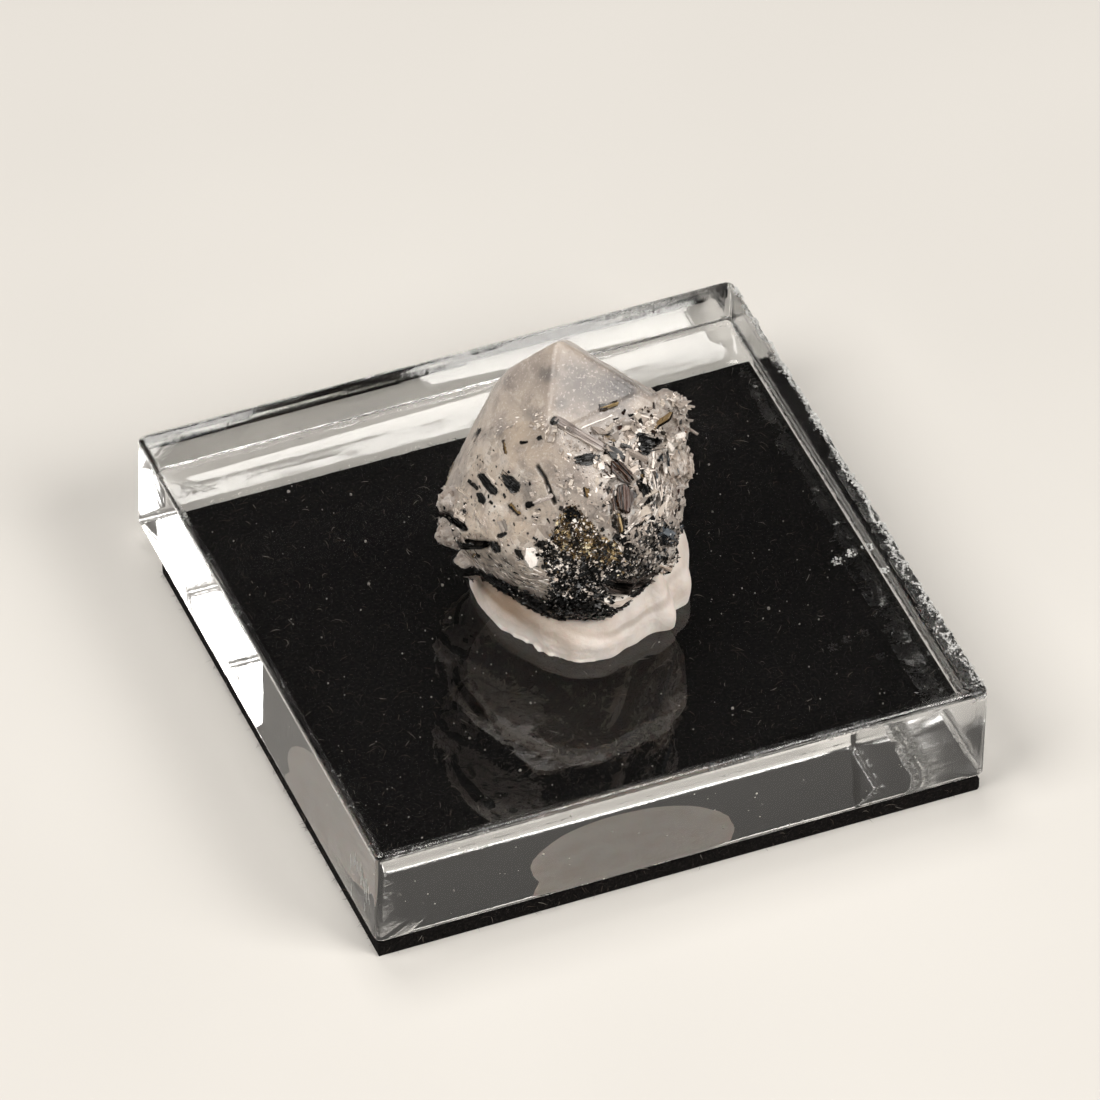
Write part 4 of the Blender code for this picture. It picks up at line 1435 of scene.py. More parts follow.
@dataclass
class FeltPad:
    """Black felt under the square: a dense pad with loose fibres on its top and sides."""

    inset: float = 0.2
    back_inset: float = 2.9
    side_steps: int = 120
    levels: tuple[float, ...] = (0.0, 0.0, 0.15, 0.45, 0.72, 0.86, 0.9, 0.9, 0.9)
    insets: tuple[float, ...] = (0.6, 0.06, 0.0, 0.0, 0.0, 0.04, 0.15, 0.6, 2.0)
    crown: float = 0.86
    fibres: int = 9000
    fibre_steps: int = 4
    fibre_length: tuple[float, float] = (0.1, 0.36)
    fibre_width: tuple[float, float] = (0.008, 0.016)
    fibre_lift: tuple[float, float] = (0.02, 0.12)
    lying_at: tuple[float, float] = (0.82, 0.88)
    edge_share: float = 0.09
    edge_heights: tuple[float, float] = (0.1, 0.75)
    specks: int = 260
    speck_size: tuple[float, float] = (0.012, 0.03)
    seed: int = 4

    def bounds(self) -> tuple[Array, Array]:
        """Lowest and highest corner of the pad in plan."""
        half = 0.5 * BLOCK_SIDE
        return np.array([self.inset - half] * 2), np.array([half - self.inset, half - self.back_inset])

    def build(self) -> list[Piece]:
        """Make the pad, its fibres, and the dust and lint on it."""
        finish = PressedFelt()
        pad = self.build_pad(finish.make())
        fibres = self.build_fibres(finish.make_fibres())
        dust = self.build_dust()
        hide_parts("felt_pad")
        for piece in (pad, fibres, dust):
            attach(piece, BODY)
        return [pad, fibres, dust]

    def build_pad(self, finish: Finish) -> Piece:
        """The pad's body: a rounded rectangle whose top and sides are slightly uneven."""
        low, high = self.bounds()
        share = np.arange(4 * self.side_steps) / self.side_steps
        leg, run = share.astype(int), 2.0 * (share % 1.0) - 1.0
        x = np.select([leg == 0, leg == 1, leg == 2], [run, 1.0, -run], -1.0)
        y = np.select([leg == 0, leg == 1, leg == 2], [-1.0, run, 1.0], -run)
        middle, half = 0.5 * (low + high), 0.5 * (high - low)
        ring = middle + np.stack([x, y], axis=1) * half
        level = np.array(self.levels)
        inward = unit(middle - ring) * np.array(self.insets)[:, None, None]
        flat = ring[None] + inward
        grid = np.concatenate([flat, np.broadcast_to(level[:, None, None], (*flat.shape[:2], 1))], axis=2)
        bump = fractal_noise(grid.reshape(-1, 3), 0.6, 8).reshape(grid.shape[:2])
        grid[2:6, :, :2] += unit(inward[2:6] + 1e-9) * 0.05 * (1.0 + bump[2:6, :, None])
        grid[6:, :, 2] -= 0.03 * (1.0 + bump[6:])
        centre = np.array([*middle, 0.0])
        points = closed_points(centre, grid, centre + [0.0, 0.0, self.crown])
        return place_mesh("felt_body", points, closed_faces(len(level), len(ring)), finish)

    def build_fibres(self, finish: Finish) -> Piece:
        """Loose fibres: thin bent strips, each an arc in plan that lifts in the middle.

        Along a fibre, t from -1 to 1, the place is length * (t, bend * t^2, lift * (1 - t^2)).
        """
        source = np.random.default_rng(self.seed)
        low, high = self.bounds()
        count = self.fibres
        plan = source.uniform(low + 0.1, high - 0.1, (count, 2))
        places = np.column_stack([plan, source.uniform(*self.lying_at, count)])
        edge = source.uniform(size=count) < self.edge_share
        towards = source.integers(0, 4, count)
        places[:, :2] = np.where(edge[:, None], self.push_to_edge(places[:, :2], towards), places[:, :2])
        places[edge, 2] = source.uniform(*self.edge_heights, edge.sum())
        length = source.uniform(*self.fibre_length, count)
        bend = source.normal(0.0, 0.35, count)
        width = source.uniform(*self.fibre_width, count)
        heading = source.uniform(0.0, 2.0 * math.pi, count)
        steps = np.linspace(-1.0, 1.0, self.fibre_steps)
        lift = source.uniform(*self.fibre_lift, count)
        along = length[:, None] * steps
        aside = length[:, None] * bend[:, None] * steps**2
        rise = lift[:, None] * (1.0 - steps**2)
        centre = np.stack([along, aside, rise], axis=-1)
        taper = np.sqrt(np.clip(1.02 - steps**2, 0.0, 1.0))
        half = width[:, None] * taper
        section = np.array([[0.0, 1.0, -0.4], [0.0, -1.0, -0.4], [0.0, 0.0, 1.0]])
        shape = (centre[:, :, None] + half[:, :, None, None] * section).reshape(count, -1, 3)
        ring = np.arange(3)
        faces = []
        for step in range(len(steps) - 1):
            lower, upper = 3 * step + ring, 3 * step + 3 + ring
            faces.append(np.stack([lower, np.roll(lower, -1), np.roll(upper, -1), upper], axis=1))
        last = 3 * (len(steps) - 1)
        ends = np.array([[0, 2, 1], [last, last + 1, last + 2]])
        turn = frames_on(np.tile([0.0, 0.0, 1.0], (count, 1)), heading)
        points, made = copies(shape, [np.vstack(faces), ends], turn, places)
        points[:, 2] = np.clip(points[:, 2], 0.02, BLOCK_FLOOR - 0.04)
        piece = place_mesh("felt_fibres", points, made, finish)
        paint(piece, "tone", np.repeat(source.uniform(size=count), shape.shape[1]))
        return piece

    def push_to_edge(self, places: Array, towards: Array) -> Array:
        """Plan places moved to one of the pad's four edges."""
        low, high = self.bounds()
        moved = places.copy()
        for index, (axis, level) in enumerate(((0, low[0]), (0, high[0]), (1, low[1]), (1, high[1]))):
            moved[towards == index, axis] = level
        return moved

    def build_dust(self) -> Piece:
        """White dust specks: small uneven eight-cornered grains on the felt."""
        source = np.random.default_rng(self.seed + 1)
        low, high = self.bounds()
        count = self.specks
        level = np.where(source.uniform(size=count) < 0.5, 0.93, BLOCK_FLOOR)
        places = np.column_stack([source.uniform(low, high, (count, 2)), level])
        size = source.uniform(*self.speck_size, count) * np.where(source.uniform(size=count) < 0.1, 1.9, 1.0)
        shape, faces = uneven_cube(source, count)
        turn = frames_on(np.tile([0.0, 0.0, 1.0], (count, 1)), source.uniform(0, 6.28, count))
        points, made = copies(shape, faces, turn * size[:, None, None], places)
        palette = Palette("household_dust")
        palette.feed("Base Color", palette.ramp(palette.noise(0.3), [(0.3, "#8d8981"), (0.7, "#d8d4cb")]))
        palette.set(Roughness=0.9)
        return place_mesh("dust_on_felt", points, made, palette.material)


def uneven_cube(source: Draws, count: int, unevenness: float = 0.35) -> tuple[Array, list[Array]]:
    """Cubes of half side 1 with every corner moved at random.

    Args:
        source: random numbers.
        count: how many.
        unevenness: how far a corner may move, in half sides.

    Returns:
        Corners (count, 8, 3), and the faces of one cube.
    """
    corners = np.array([[x, y, z] for z in (-1, 1) for y in (-1, 1) for x in (-1, 1)], float)
    shape = corners + source.uniform(-unevenness, unevenness, (count, 8, 3))
    faces = np.array([[0, 2, 3, 1], [4, 5, 7, 6], [0, 1, 5, 4], [1, 3, 7, 5], [3, 2, 6, 7], [2, 0, 4, 6]])
    return shape, [faces]


# Putty


# How far the putty spreads on the square, and how high it comes, for angles round the crystal: mm
PUTTY_REACH = (
    (0, 5.15), (45, 5.1), (90, 5.0), (135, 5.1), (160, 5.3), (180, 5.3), (205, 5.3),
    (220, 5.3), (234, 5.72), (246, 6.0), (261, 5.9), (275, 5.45), (290, 5.3), (300, 5.55), (309, 5.1),
    (320, 5.35), (335, 5.3),
)
PUTTY_CROWN = (
    (0, 4.6), (45, 4.2), (90, 3.6), (135, 3.4), (180, 3.0), (235, 2.7), (265, 2.6), (290, 2.9),
    (315, 3.8), (345, 4.7),
)
# Thumb-pressed lumps: angle, step up the slope, half width (degrees), half height, swell mm
PUTTY_LUMPS = (
    (299, 0.12, 7, 0.2, 0.36), (320, 0.16, 8, 0.22, 0.36), (283, 0.35, 9, 0.14, 0.12),
    (252, 0.2, 14, 0.16, 0.12), (342, 0.3, 8, 0.2, 0.16), (10, 0.2, 12, 0.2, 0.14),
    (222, 0.3, 9, 0.14, 0.1), (60, 0.25, 16, 0.2, 0.15), (120, 0.2, 12, 0.2, 0.12),
    (165, 0.3, 14, 0.18, 0.12),
)


@dataclass
class PuttySeat:
    """The putty that holds the crystal: a pressed ring with finger swirls and a torn foot."""

    form: CrystalForm
    columns: int = 520
    rows: int = 110
    shoulder: float = 0.4
    rise: float = 0.9
    contact: float = 0.03
    swirls: float = 3.5
    swirl_depth: float = 0.045
    foot_bump: float = 0.07
    lump: float = 0.09
    pore: float = 0.012
    fringe: float = 0.14
    shaded_way: float = 205.0
    torn_way: float = 225.0

    def build(self) -> Piece:
        """Make the putty from its foot on the square up to the crystal.

        At angle a and step s from 0 to 1, reach = R(a) cos(s 90)^shoulder and height =
        H(a) sin(s 90)^rise, with swirls sin(2 pi swirls s + 2a) across the slope.
        """
        angle = np.degrees(2.0 * math.pi * np.arange(self.columns) / self.columns)
        step = ((np.arange(self.rows) / self.rows) ** 1.15)[:, None]
        turn = np.radians(angle)[None]
        centre = np.array([PUTTY_X, CRYSTAL_CENTRE[1]])
        ring = np.stack([np.cos(turn[0]), np.sin(turn[0])], axis=1)
        lower = np.column_stack([ring * 5.3, np.zeros(self.columns)])
        reach = round_trip(PUTTY_REACH, angle) + self.foot_bump * fractal_noise(lower, 1.3, 51, 3)
        crown = round_trip(PUTTY_CROWN, angle)
        quarter = 0.5 * math.pi * step
        swirl = np.sin(2.0 * math.pi * self.swirls * step + 2.0 * turn + 1.6 * np.sin(3.0 * turn))
        swirl = swirl * (0.4 + 0.6 * np.sin(1.5 * turn + 0.5) ** 2)
        fade = smoothstep(0.03, 0.25, step)
        radius = reach * np.cos(quarter) ** self.shoulder + self.swirl_depth * swirl * fade
        radius = radius + self.lumps(angle, step) + self.skirt(angle, step, lower)
        height = (crown + self.contact) * np.sin(quarter) ** self.rise - self.contact
        plan = centre + ring[None] * radius[..., None]
        grid = np.concatenate([plan, (BLOCK_TOP + height)[..., None]], axis=2)
        flat = grid.reshape(-1, 3)
        lump = self.lump * fractal_noise(flat, 1.6, 57, 2) + self.pore * fractal_noise(flat, 0.25, 59, 2)
        grid[..., :2] += ring[None] * (lump.reshape(radius.shape) * fade)[..., None]
        foot = np.array([*centre, BLOCK_TOP - self.contact])
        crest = np.array([*centre, BLOCK_TOP + 4.0])
        points = self.under_crystal(closed_points(foot, grid, crest))
        faces = closed_faces(self.rows, self.columns)
        piece = place_mesh("putty_seat", points, faces, MountingPutty().make())
        # Painted shade: a little in the swirl troughs, and up the slope towards the crystal, strongest on
        # the left where its overhang casts a shadow.
        left = np.exp(-(((angle - self.shaded_way) / 38.0) ** 2))
        shaded = smoothstep(0.2, 1.0, -swirl) * fade * 0.35
        shaded = shaded + smoothstep(0.0, 0.3, step) * (0.1 + 0.9 * left)
        painted_shade = np.concatenate([[0.0], np.clip(shaded, 0.0, 1.0).ravel(), [0.0]])
        paint(piece, "painted_shade", painted_shade)
        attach(piece, BODY)
        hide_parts("putty")
        return piece

    def lumps(self, angle: Array, step: Array) -> Array:
        """Soft swellings: a sum of swell * exp(-(angle gap / width)^2 - (step gap / height)^2)."""
        total = np.zeros((step.shape[0], len(angle)))
        for middle, level, width, tall, swell in PUTTY_LUMPS:
            around = (angle - middle + 180.0) % 360.0 - 180.0
            total += swell * np.exp(-((around[None] / width) ** 2) - ((step - level) / tall) ** 2)
        return total

    def skirt(self, angle: Array, step: Array, lower: Array) -> Array:
        """A thin torn fringe at the foot, widest at the front left, ragged by fine noise."""
        torn = smoothstep(-0.35, 0.5, fractal_noise(lower, 0.4, 55, 3))
        torn = torn + 0.3 * fractal_noise(lower, 0.13, 56, 2)
        gap = (angle - self.torn_way + 180.0) % 360.0 - 180.0
        facing_left = 0.15 + 0.85 * np.exp(-((gap / 24.0) ** 2))
        return self.fringe * (torn * facing_left)[None] * np.exp(-((step / 0.02) ** 2))

    def under_crystal(self, points: Array) -> Array:
        """Points inside the crystal moved out along their rays to just under its skin."""
        offset = points - CRYSTAL_CENTRE
        distance = np.linalg.norm(offset, axis=1)
        directions = unit(offset)
        reach = self.form.surface(directions)["reach"]
        kept = np.maximum(distance, 0.985 * reach)
        moved = CRYSTAL_CENTRE + directions * kept[:, None]
        moved[:, 2] = np.maximum(moved[:, 2], BLOCK_TOP - self.contact)
        return moved


# Mica, feldspar and quartz on the crystal


@dataclass(frozen=True)
class Flake:
    """A flake or rod in the crystal's face, by its outline in pixels of the photograph.

    proud is how far it stands out in mm, width a bar's width in pixels, and strips the most
    strips that it is split into.
    """

    outline: Points
    proud: float = 0.05
    width: float = 0.0
    strips: int = 5

    def corners(self) -> Array:
        """The outline; two points and a width stand for a bar with cut-off corners."""
        points = np.array(self.outline, float)
        if len(points) > 2:
            return points
        along = unit(points[1] - points[0])
        side = 0.5 * self.width * np.array([-along[1], along[0]])
        trim = 0.3 * self.width * along
        start, end = points
        near = [start + side + trim, start + 0.5 * side, start - 0.5 * side, start - side + trim]
        far = [end - side - trim, end - 0.5 * side, end + 0.5 * side, end + side - trim]
        return np.array(near + far)


INCLUSIONS = {
    MicaKind.BLACK: (
        Flake(((478, 474), (484, 473), (489, 479), (498, 491), (497, 495), (490, 494), (483, 485)), 0.03),
        Flake(((500, 474), (512, 476), (521, 484), (519, 491), (511, 494), (505, 485)), 0.06),
        Flake(((476, 493), (481, 492), (486, 500), (484, 505), (478, 500)), 0.03),
        Flake(((470, 483), (478, 489)), 0.03, 3.5),
        Flake(((526, 502), (532, 501), (535, 505), (530, 508), (525, 507)), 0.08),
        Flake(((497, 537), (507, 533)), 0.03, 4),
        Flake(((490, 542), (500, 552)), 0.03, 5),
        Flake(((514, 549), (521, 551), (524, 560), (518, 562)), 0.03),
        Flake(((532, 515), (538, 519)), 0.03, 4),
        Flake(((461, 510), (466, 514)), 0.03, 4),
        Flake(((452, 553), (459, 557)), 0.03, 2.6, strips=1),
        Flake(((520, 443), (528, 442)), 0.02, 2.5),
        Flake(((537, 439), (542, 437)), 0.02, 4),
        Flake(((471, 440), (479, 428)), 0.02, 2.2),
        Flake(((636, 433), (646, 436), (666, 441), (652, 448), (644, 457), (638, 451)), 0.16),
        Flake(((605, 449), (612, 446), (620, 451), (627, 457), (626, 463), (612, 460)), 0.14),
        Flake(((572, 458), (584, 454), (600, 455), (598, 462), (586, 466), (576, 463)), 0.09),
        Flake(((641, 482), (647, 486), (651, 495), (649, 505), (643, 499)), 0.1),
        Flake(((551, 420), (557, 424)), 0.16, 7),
        Flake(((564, 511), (572, 507), (582, 514), (578, 521), (566, 518)), 0.08),
        Flake(((634, 597), (648, 593), (660, 586)), 0.1),
        Flake(((660, 576), (684, 546)), 0.3, 3.2),
        Flake(((634, 598), (661, 587)), 0.24, 3.2),
        Flake(((438, 508), (451, 514), (464, 526), (462, 532), (448, 521), (437, 513)), 0.14),
        Flake(((441, 540), (455, 543), (470, 541), (486, 543), (484, 549), (468, 547), (452, 549)), 0.1),
    ),
    MicaKind.BRONZE: (
        Flake(((598, 407), (606, 406), (617, 402), (618, 406), (606, 411), (599, 412)), 0.04),
        Flake(((509, 504), (520, 515)), 0.03, 5),
        Flake(((583, 487), (590, 489), (588, 498), (584, 496)), 0.04),
        Flake(((654, 435), (661, 419)), 0.06, 4),
        Flake(((598, 430), (616, 441)), 0.06, 5),
        Flake(((503, 440), (506, 454)), 0.02, 2.5),
        Flake(((620, 445), (630, 449)), 0.1, 6),
        Flake(((473, 554), (479, 558)), 0.03, 6),
        Flake(((640, 474), (652, 487)), 0.06, 4),
        Flake(((614, 514), (620, 513), (626, 524), (622, 534), (615, 530)), 0.24),
    ),
    MicaKind.RED_BROWN: (
        Flake(
            ((617, 486), (624, 484), (631, 490), (633, 500), (626, 514), (618, 511), (615, 498)),
            0.34,
            strips=3,
        ),
        Flake(((610, 461), (620, 462), (632, 474), (630, 484), (620, 482), (612, 472)), 0.26),
        Flake(((604, 462), (619, 474)), 0.08, 2.2),
        Flake(((600, 466), (612, 479)), 0.06, 1.8),
        Flake(((612, 488), (616, 512)), 0.06, 3),
    ),
    MicaKind.GREY: (
        Flake(((496, 522), (506, 520), (508, 530), (502, 533)), 0.03),
        Flake(((475, 510), (485, 532)), 0.03, 5),
        Flake(((456, 487), (468, 499)), 0.05, 3.5),
        Flake(((485, 472), (495, 480), (499, 492), (491, 482)), 0.03),
        Flake(((533, 512), (541, 514), (538, 520), (531, 518)), 0.04),
        Flake(((455, 508), (466, 516), (464, 524), (454, 518)), 0.06),
        Flake(((644, 583), (659, 580), (658, 591), (646, 593)), 0.1),
        Flake(((544, 432), (556, 428), (560, 438), (548, 443)), 0.05),
    ),
    MicaKind.LILAC: (
        Flake(((552, 419), (604, 449)), 0.16, 8.5),
        Flake(((533, 503), (553, 496)), 0.1, 4),
    ),
    MicaKind.SCHORL: (
        Flake(((600, 578), (645, 577), (657, 570), (661, 579), (648, 587), (602, 589)), 0.28),
    ),
    MicaKind.STEEL: (
        Flake(((658, 534), (668, 528), (677, 533), (678, 542), (670, 547), (661, 544)), 0.1, strips=2),
    ),
    MicaKind.PALE: (
        Flake(((597, 464), (603, 462), (604, 469), (598, 470)), 0.14),
        Flake(((624, 537), (632, 524), (645, 518), (642, 530), (629, 541)), 0.08),
        Flake(((656, 561), (677, 553), (670, 566), (658, 576)), 0.26, strips=2),
        Flake(((526, 549), (535, 547), (538, 556), (536, 566), (530, 570), (525, 560)), 0.07, strips=1),
        Flake(((579, 429), (641, 403)), 0.025, 1.3),
        Flake(((600, 591), (658, 583), (658, 590), (606, 608)), 0.2, strips=3),
        Flake(((618, 459), (632, 470)), 0.08, 2.2),
        Flake(((622, 454), (634, 462)), 0.08, 1.8),
        Flake(((616, 541), (627, 556)), 0.08, 2.4),
        Flake(((665, 441), (672, 437), (677, 444), (671, 452)), 0.04, strips=1),
    ),
}


@dataclass
class Inclusions:
    """Named flakes, rods and plates, each split along its length into a few low prisms."""

    form: CrystalForm
    side_points: int = 22
    ragged: float = 0.45
    sunk: float = 0.35
    strip: float = 0.14
    # For each ring of a strip: its share of the width, and its rise in sunk depths and in levels
    rings: tuple[tuple[float, float, float], ...] = (
        (0.85, -1.0, 0.0), (1.0, -0.5, 0.0), (1.0, 0.0, 0.4), (0.93, 0.0, 1.0), (0.5, 0.0, 1.0),
    )

    def build(self) -> list[Piece]:
        """Make one joined mesh for each kind of mineral."""
        made = []
        for order, (kind, members) in enumerate(INCLUSIONS.items()):
            source = np.random.default_rng(100 + order)
            points, tones, sideways = [], [], []
            for member in members:
                for shape, across in self.split(member, source):
                    points.append(shape)
                    sideways.append(across)
                    tones.append(np.full(len(shape), source.uniform(0.0, 0.9)))
            size = len(points[0])
            one = closed_faces(len(self.rings), self.side_points)
            shift = size * np.arange(len(points))
            joined = [(part[None] + shift[:, None, None]).reshape(-1, part.shape[1]) for part in one]
            combed = kind in (MicaKind.LILAC, MicaKind.SCHORL, MicaKind.RED_BROWN)
            finish = CleavedFinish(kind, combed=combed).make()
            name = f"{kind.name.lower()}_inclusions"
            piece = place_mesh(name, np.vstack(points), joined, finish, smooth=False)
            paint(piece, "tone", np.concatenate(tones))
            paint(piece, "across", np.concatenate(sideways))
            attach(piece, BODY)
            made.append(piece)
        return made

    def split(self, member: Flake, source: Draws) -> list[tuple[Array, Array]]:
        """Cut an outline along its long axis and raise each strip to its own slanting level.

        Args:
            member: the flake.
            source: random numbers.

        Returns:
            For each strip its points, and how far each lies to one side of the long axis, mm.
        """
        corners = outline_points(member.corners(), self.side_points)
        corners = corners + source.normal(0.0, self.ragged, corners.shape)
        directions, normals = self.form.meet(corners)
        reach, _ = self.form.core(directions)
        face = CRYSTAL_CENTRE + directions * self.form.with_lobes(directions, reach)[:, None]
        middle, normal = face.mean(axis=0), unit(normals.mean(axis=0))
        offset = face - middle
        _, _, axes = np.linalg.svd(offset, full_matrices=False)
        along = unit(axes[0] - normal * (axes[0] @ normal))
        aside = np.cross(normal, along)
        u, v, depth = offset @ along, offset @ aside, offset @ normal
        if np.sum(u * np.roll(v, -1) - v * np.roll(u, -1)) < 0.0:
            u, v, depth = u[::-1], v[::-1], depth[::-1]
        count = int(np.clip(round(np.ptp(v) / self.strip), 1, member.strips))
        cuts = np.linspace(v.min(), v.max(), count + 1)
        cuts[1:-1] += source.uniform(-0.3, 0.3, count - 1) * np.ptp(v) / count
        strips = []
        for low, high in zip(cuts[:-1], cuts[1:]):
            place = np.clip(v, low, high)
            level = member.proud * source.uniform(0.5, 1.0)
            slant = source.normal(0.0, 0.1) * (place - 0.5 * (low + high)) + source.normal(0.0, 0.05) * u
            grid = []
            for shrink, down, up in self.rings:
                rise = down * self.sunk + up * level
                level_v = 0.5 * (low + high) + (place - 0.5 * (low + high)) * shrink
                height = depth + slant * (rise > 0.0) + rise
                ring = middle + (u * shrink)[:, None] * along + level_v[:, None] * aside
                grid.append(ring + height[:, None] * normal)
            grid = np.stack(grid)
            points = closed_points(grid[0].mean(axis=0), grid, grid[-1].mean(axis=0))
            strips.append((points, (points - middle) @ aside))
        return strips


@dataclass(frozen=True)
class Shards:
    """Small shards of one mineral: where they lie, and what they are like.

    size is the half length in mm; width over length is slender, thickness over width is flat.
    heading is the way they point in the picture, in degrees anticlockwise from its right.
    """

    kind: MicaKind
    outline: Points
    count: int
    size: tuple[float, float]
    slender: float = 0.8
    flat: float = 0.5
    heading: float = 0.0
    spread: float = 180.0
    lean: float = 0.45
    fray: float = 2.0
    sink: float = 0.0
    hidden_count: int = 0
    hidden_bearings: tuple[float, float] = (125.0, 240.0)
    hidden_heights: tuple[float, float] = (-32.0, 5.0)


# Mineral, outline, count, sizes, slender, flat, heading, spread, lean, fray, sink
SHARD_FIELDS = (
    Shards(MicaKind.BRONZE, GOLD_AREA, 1900, (0.025, 0.09), hidden_count=260),
    Shards(MicaKind.BLACK, GOLD_AREA, 420, (0.03, 0.12), fray=3),
    Shards(MicaKind.PALE, GOLD_AREA, 340, (0.02, 0.08)),
    Shards(MicaKind.BLACK, DARK_AREA, 1700, (0.04, 0.14), fray=3, hidden_count=700),
    Shards(MicaKind.BLACK, DARK_AREA, 160, (0.14, 0.3), 0.6, fray=4, hidden_count=60),
    Shards(MicaKind.PALE, DARK_AREA, 700, (0.025, 0.1), hidden_count=100),
    Shards(MicaKind.GREY, DARK_AREA, 360, (0.04, 0.13)),
    Shards(MicaKind.BRONZE, DARK_AREA, 260, (0.025, 0.07)),
    Shards(MicaKind.BLACK, RUBBLE_AREA, 520, (0.04, 0.16), fray=4),
    Shards(MicaKind.GREY, RUBBLE_AREA, 300, (0.05, 0.2), 0.6, fray=3),
    Shards(MicaKind.PALE, RUBBLE_AREA, 300, (0.03, 0.14), 0.6, fray=3),
    Shards(MicaKind.STEEL, STEEL_AREA, 150, (0.05, 0.15), flat=0.3),
    Shards(MicaKind.PALE, RIGHT_AREA, 320, (0.04, 0.34), 0.32, 0.4, 35, 28, 0.4, sink=0.02),
    Shards(MicaKind.GREY, RIGHT_AREA, 340, (0.06, 0.48), 0.4, 0.4, 35, 30, 0.35, sink=0.03),
    Shards(MicaKind.BLACK, RIGHT_AREA, 140, (0.03, 0.22), 0.5, 0.5, 60, 60),
    Shards(MicaKind.RED_BROWN, RIGHT_AREA, 90, (0.03, 0.22), 0.5, 0.5, 60, 60),
    Shards(MicaKind.BRONZE, RIGHT_AREA, 130, (0.02, 0.09), 0.6),
    Shards(MicaKind.PALE, LUMPS_AREA, 70, (0.04, 0.2), 0.4, 0.5, 35, 40, 0.3, 1, 0.02),
    Shards(MicaKind.GREY, LUMPS_AREA, 50, (0.05, 0.24), 0.4, 0.5, 35, 40, 0.3, 1, 0.02),
    Shards(MicaKind.PALE, STREAK_AREA, 90, (0.12, 0.42), 0.14, 0.6, 82, 7, 0.2, 1),
    Shards(MicaKind.STEEL, STREAK_AREA, 50, (0.12, 0.42), 0.12, 0.6, 82, 7, 0.2, 1),
    Shards(MicaKind.GREY, MIDDLE_AREA, 110, (0.05, 0.34), 0.3, 0.3, 120, 50, 0.15, 4, 0.03),
    Shards(MicaKind.PALE, MIDDLE_AREA, 70, (0.04, 0.22), 0.2, 0.4, 120, 40, 0.2, 4, 0.02),
    Shards(MicaKind.BLACK, MIDDLE_AREA, 60, (0.02, 0.07), 0.6),
    Shards(MicaKind.GREY, LEFT_AREA, 90, (0.06, 0.3), 0.35, 0.3, -50, 30, 0.12, 5, 0.03),
    Shards(MicaKind.PALE, LEFT_AREA, 60, (0.04, 0.18), 0.3, 0.4, -50, 40, 0.2, 5, 0.02),
    Shards(MicaKind.BLACK, LEFT_AREA, 80, (0.02, 0.12), 0.5, 0.5, -50, 30, 0.3, 8),
    Shards(MicaKind.GREY, CORNER_AREA, 80, (0.05, 0.22), 0.5, sink=0.02),
    Shards(MicaKind.PALE, CORNER_AREA, 70, (0.04, 0.16), 0.4, sink=0.02),
    Shards(MicaKind.BLACK, CORNER_AREA, 70, (0.03, 0.13), 0.5),
    Shards(MicaKind.GREY, FOOT_AREA, 90, (0.15, 0.5), 0.09, 0.5, -22, 5, 0.12, 2, 0.01),
    Shards(MicaKind.PALE, FOOT_AREA, 110, (0.12, 0.4), 0.08, 0.5, -22, 5, 0.12, 2, 0.01),
    Shards(MicaKind.BLACK, FOOT_AREA, 90, (0.08, 0.34), 0.13, 0.5, -22, 6, 0.12, 2, 0.01),
    Shards(MicaKind.PALE, ROOF_LIP_AREA, 50, (0.05, 0.24), 0.16, 0.4, 20, 30, 0.15, 2, 0.03),
    Shards(MicaKind.GREY, ROOF_LIP_AREA, 50, (0.05, 0.24), 0.3, 0.4, 20, 40, 0.15, 2, 0.03),
    Shards(MicaKind.BLACK, BAND_AREA, 1000, (0.05, 0.2), 0.6, 0.3, -20, 25, 0.35, 2, -0.18),
    Shards(MicaKind.PALE, BAND_AREA, 60, (0.02, 0.05), sink=-0.2),
)


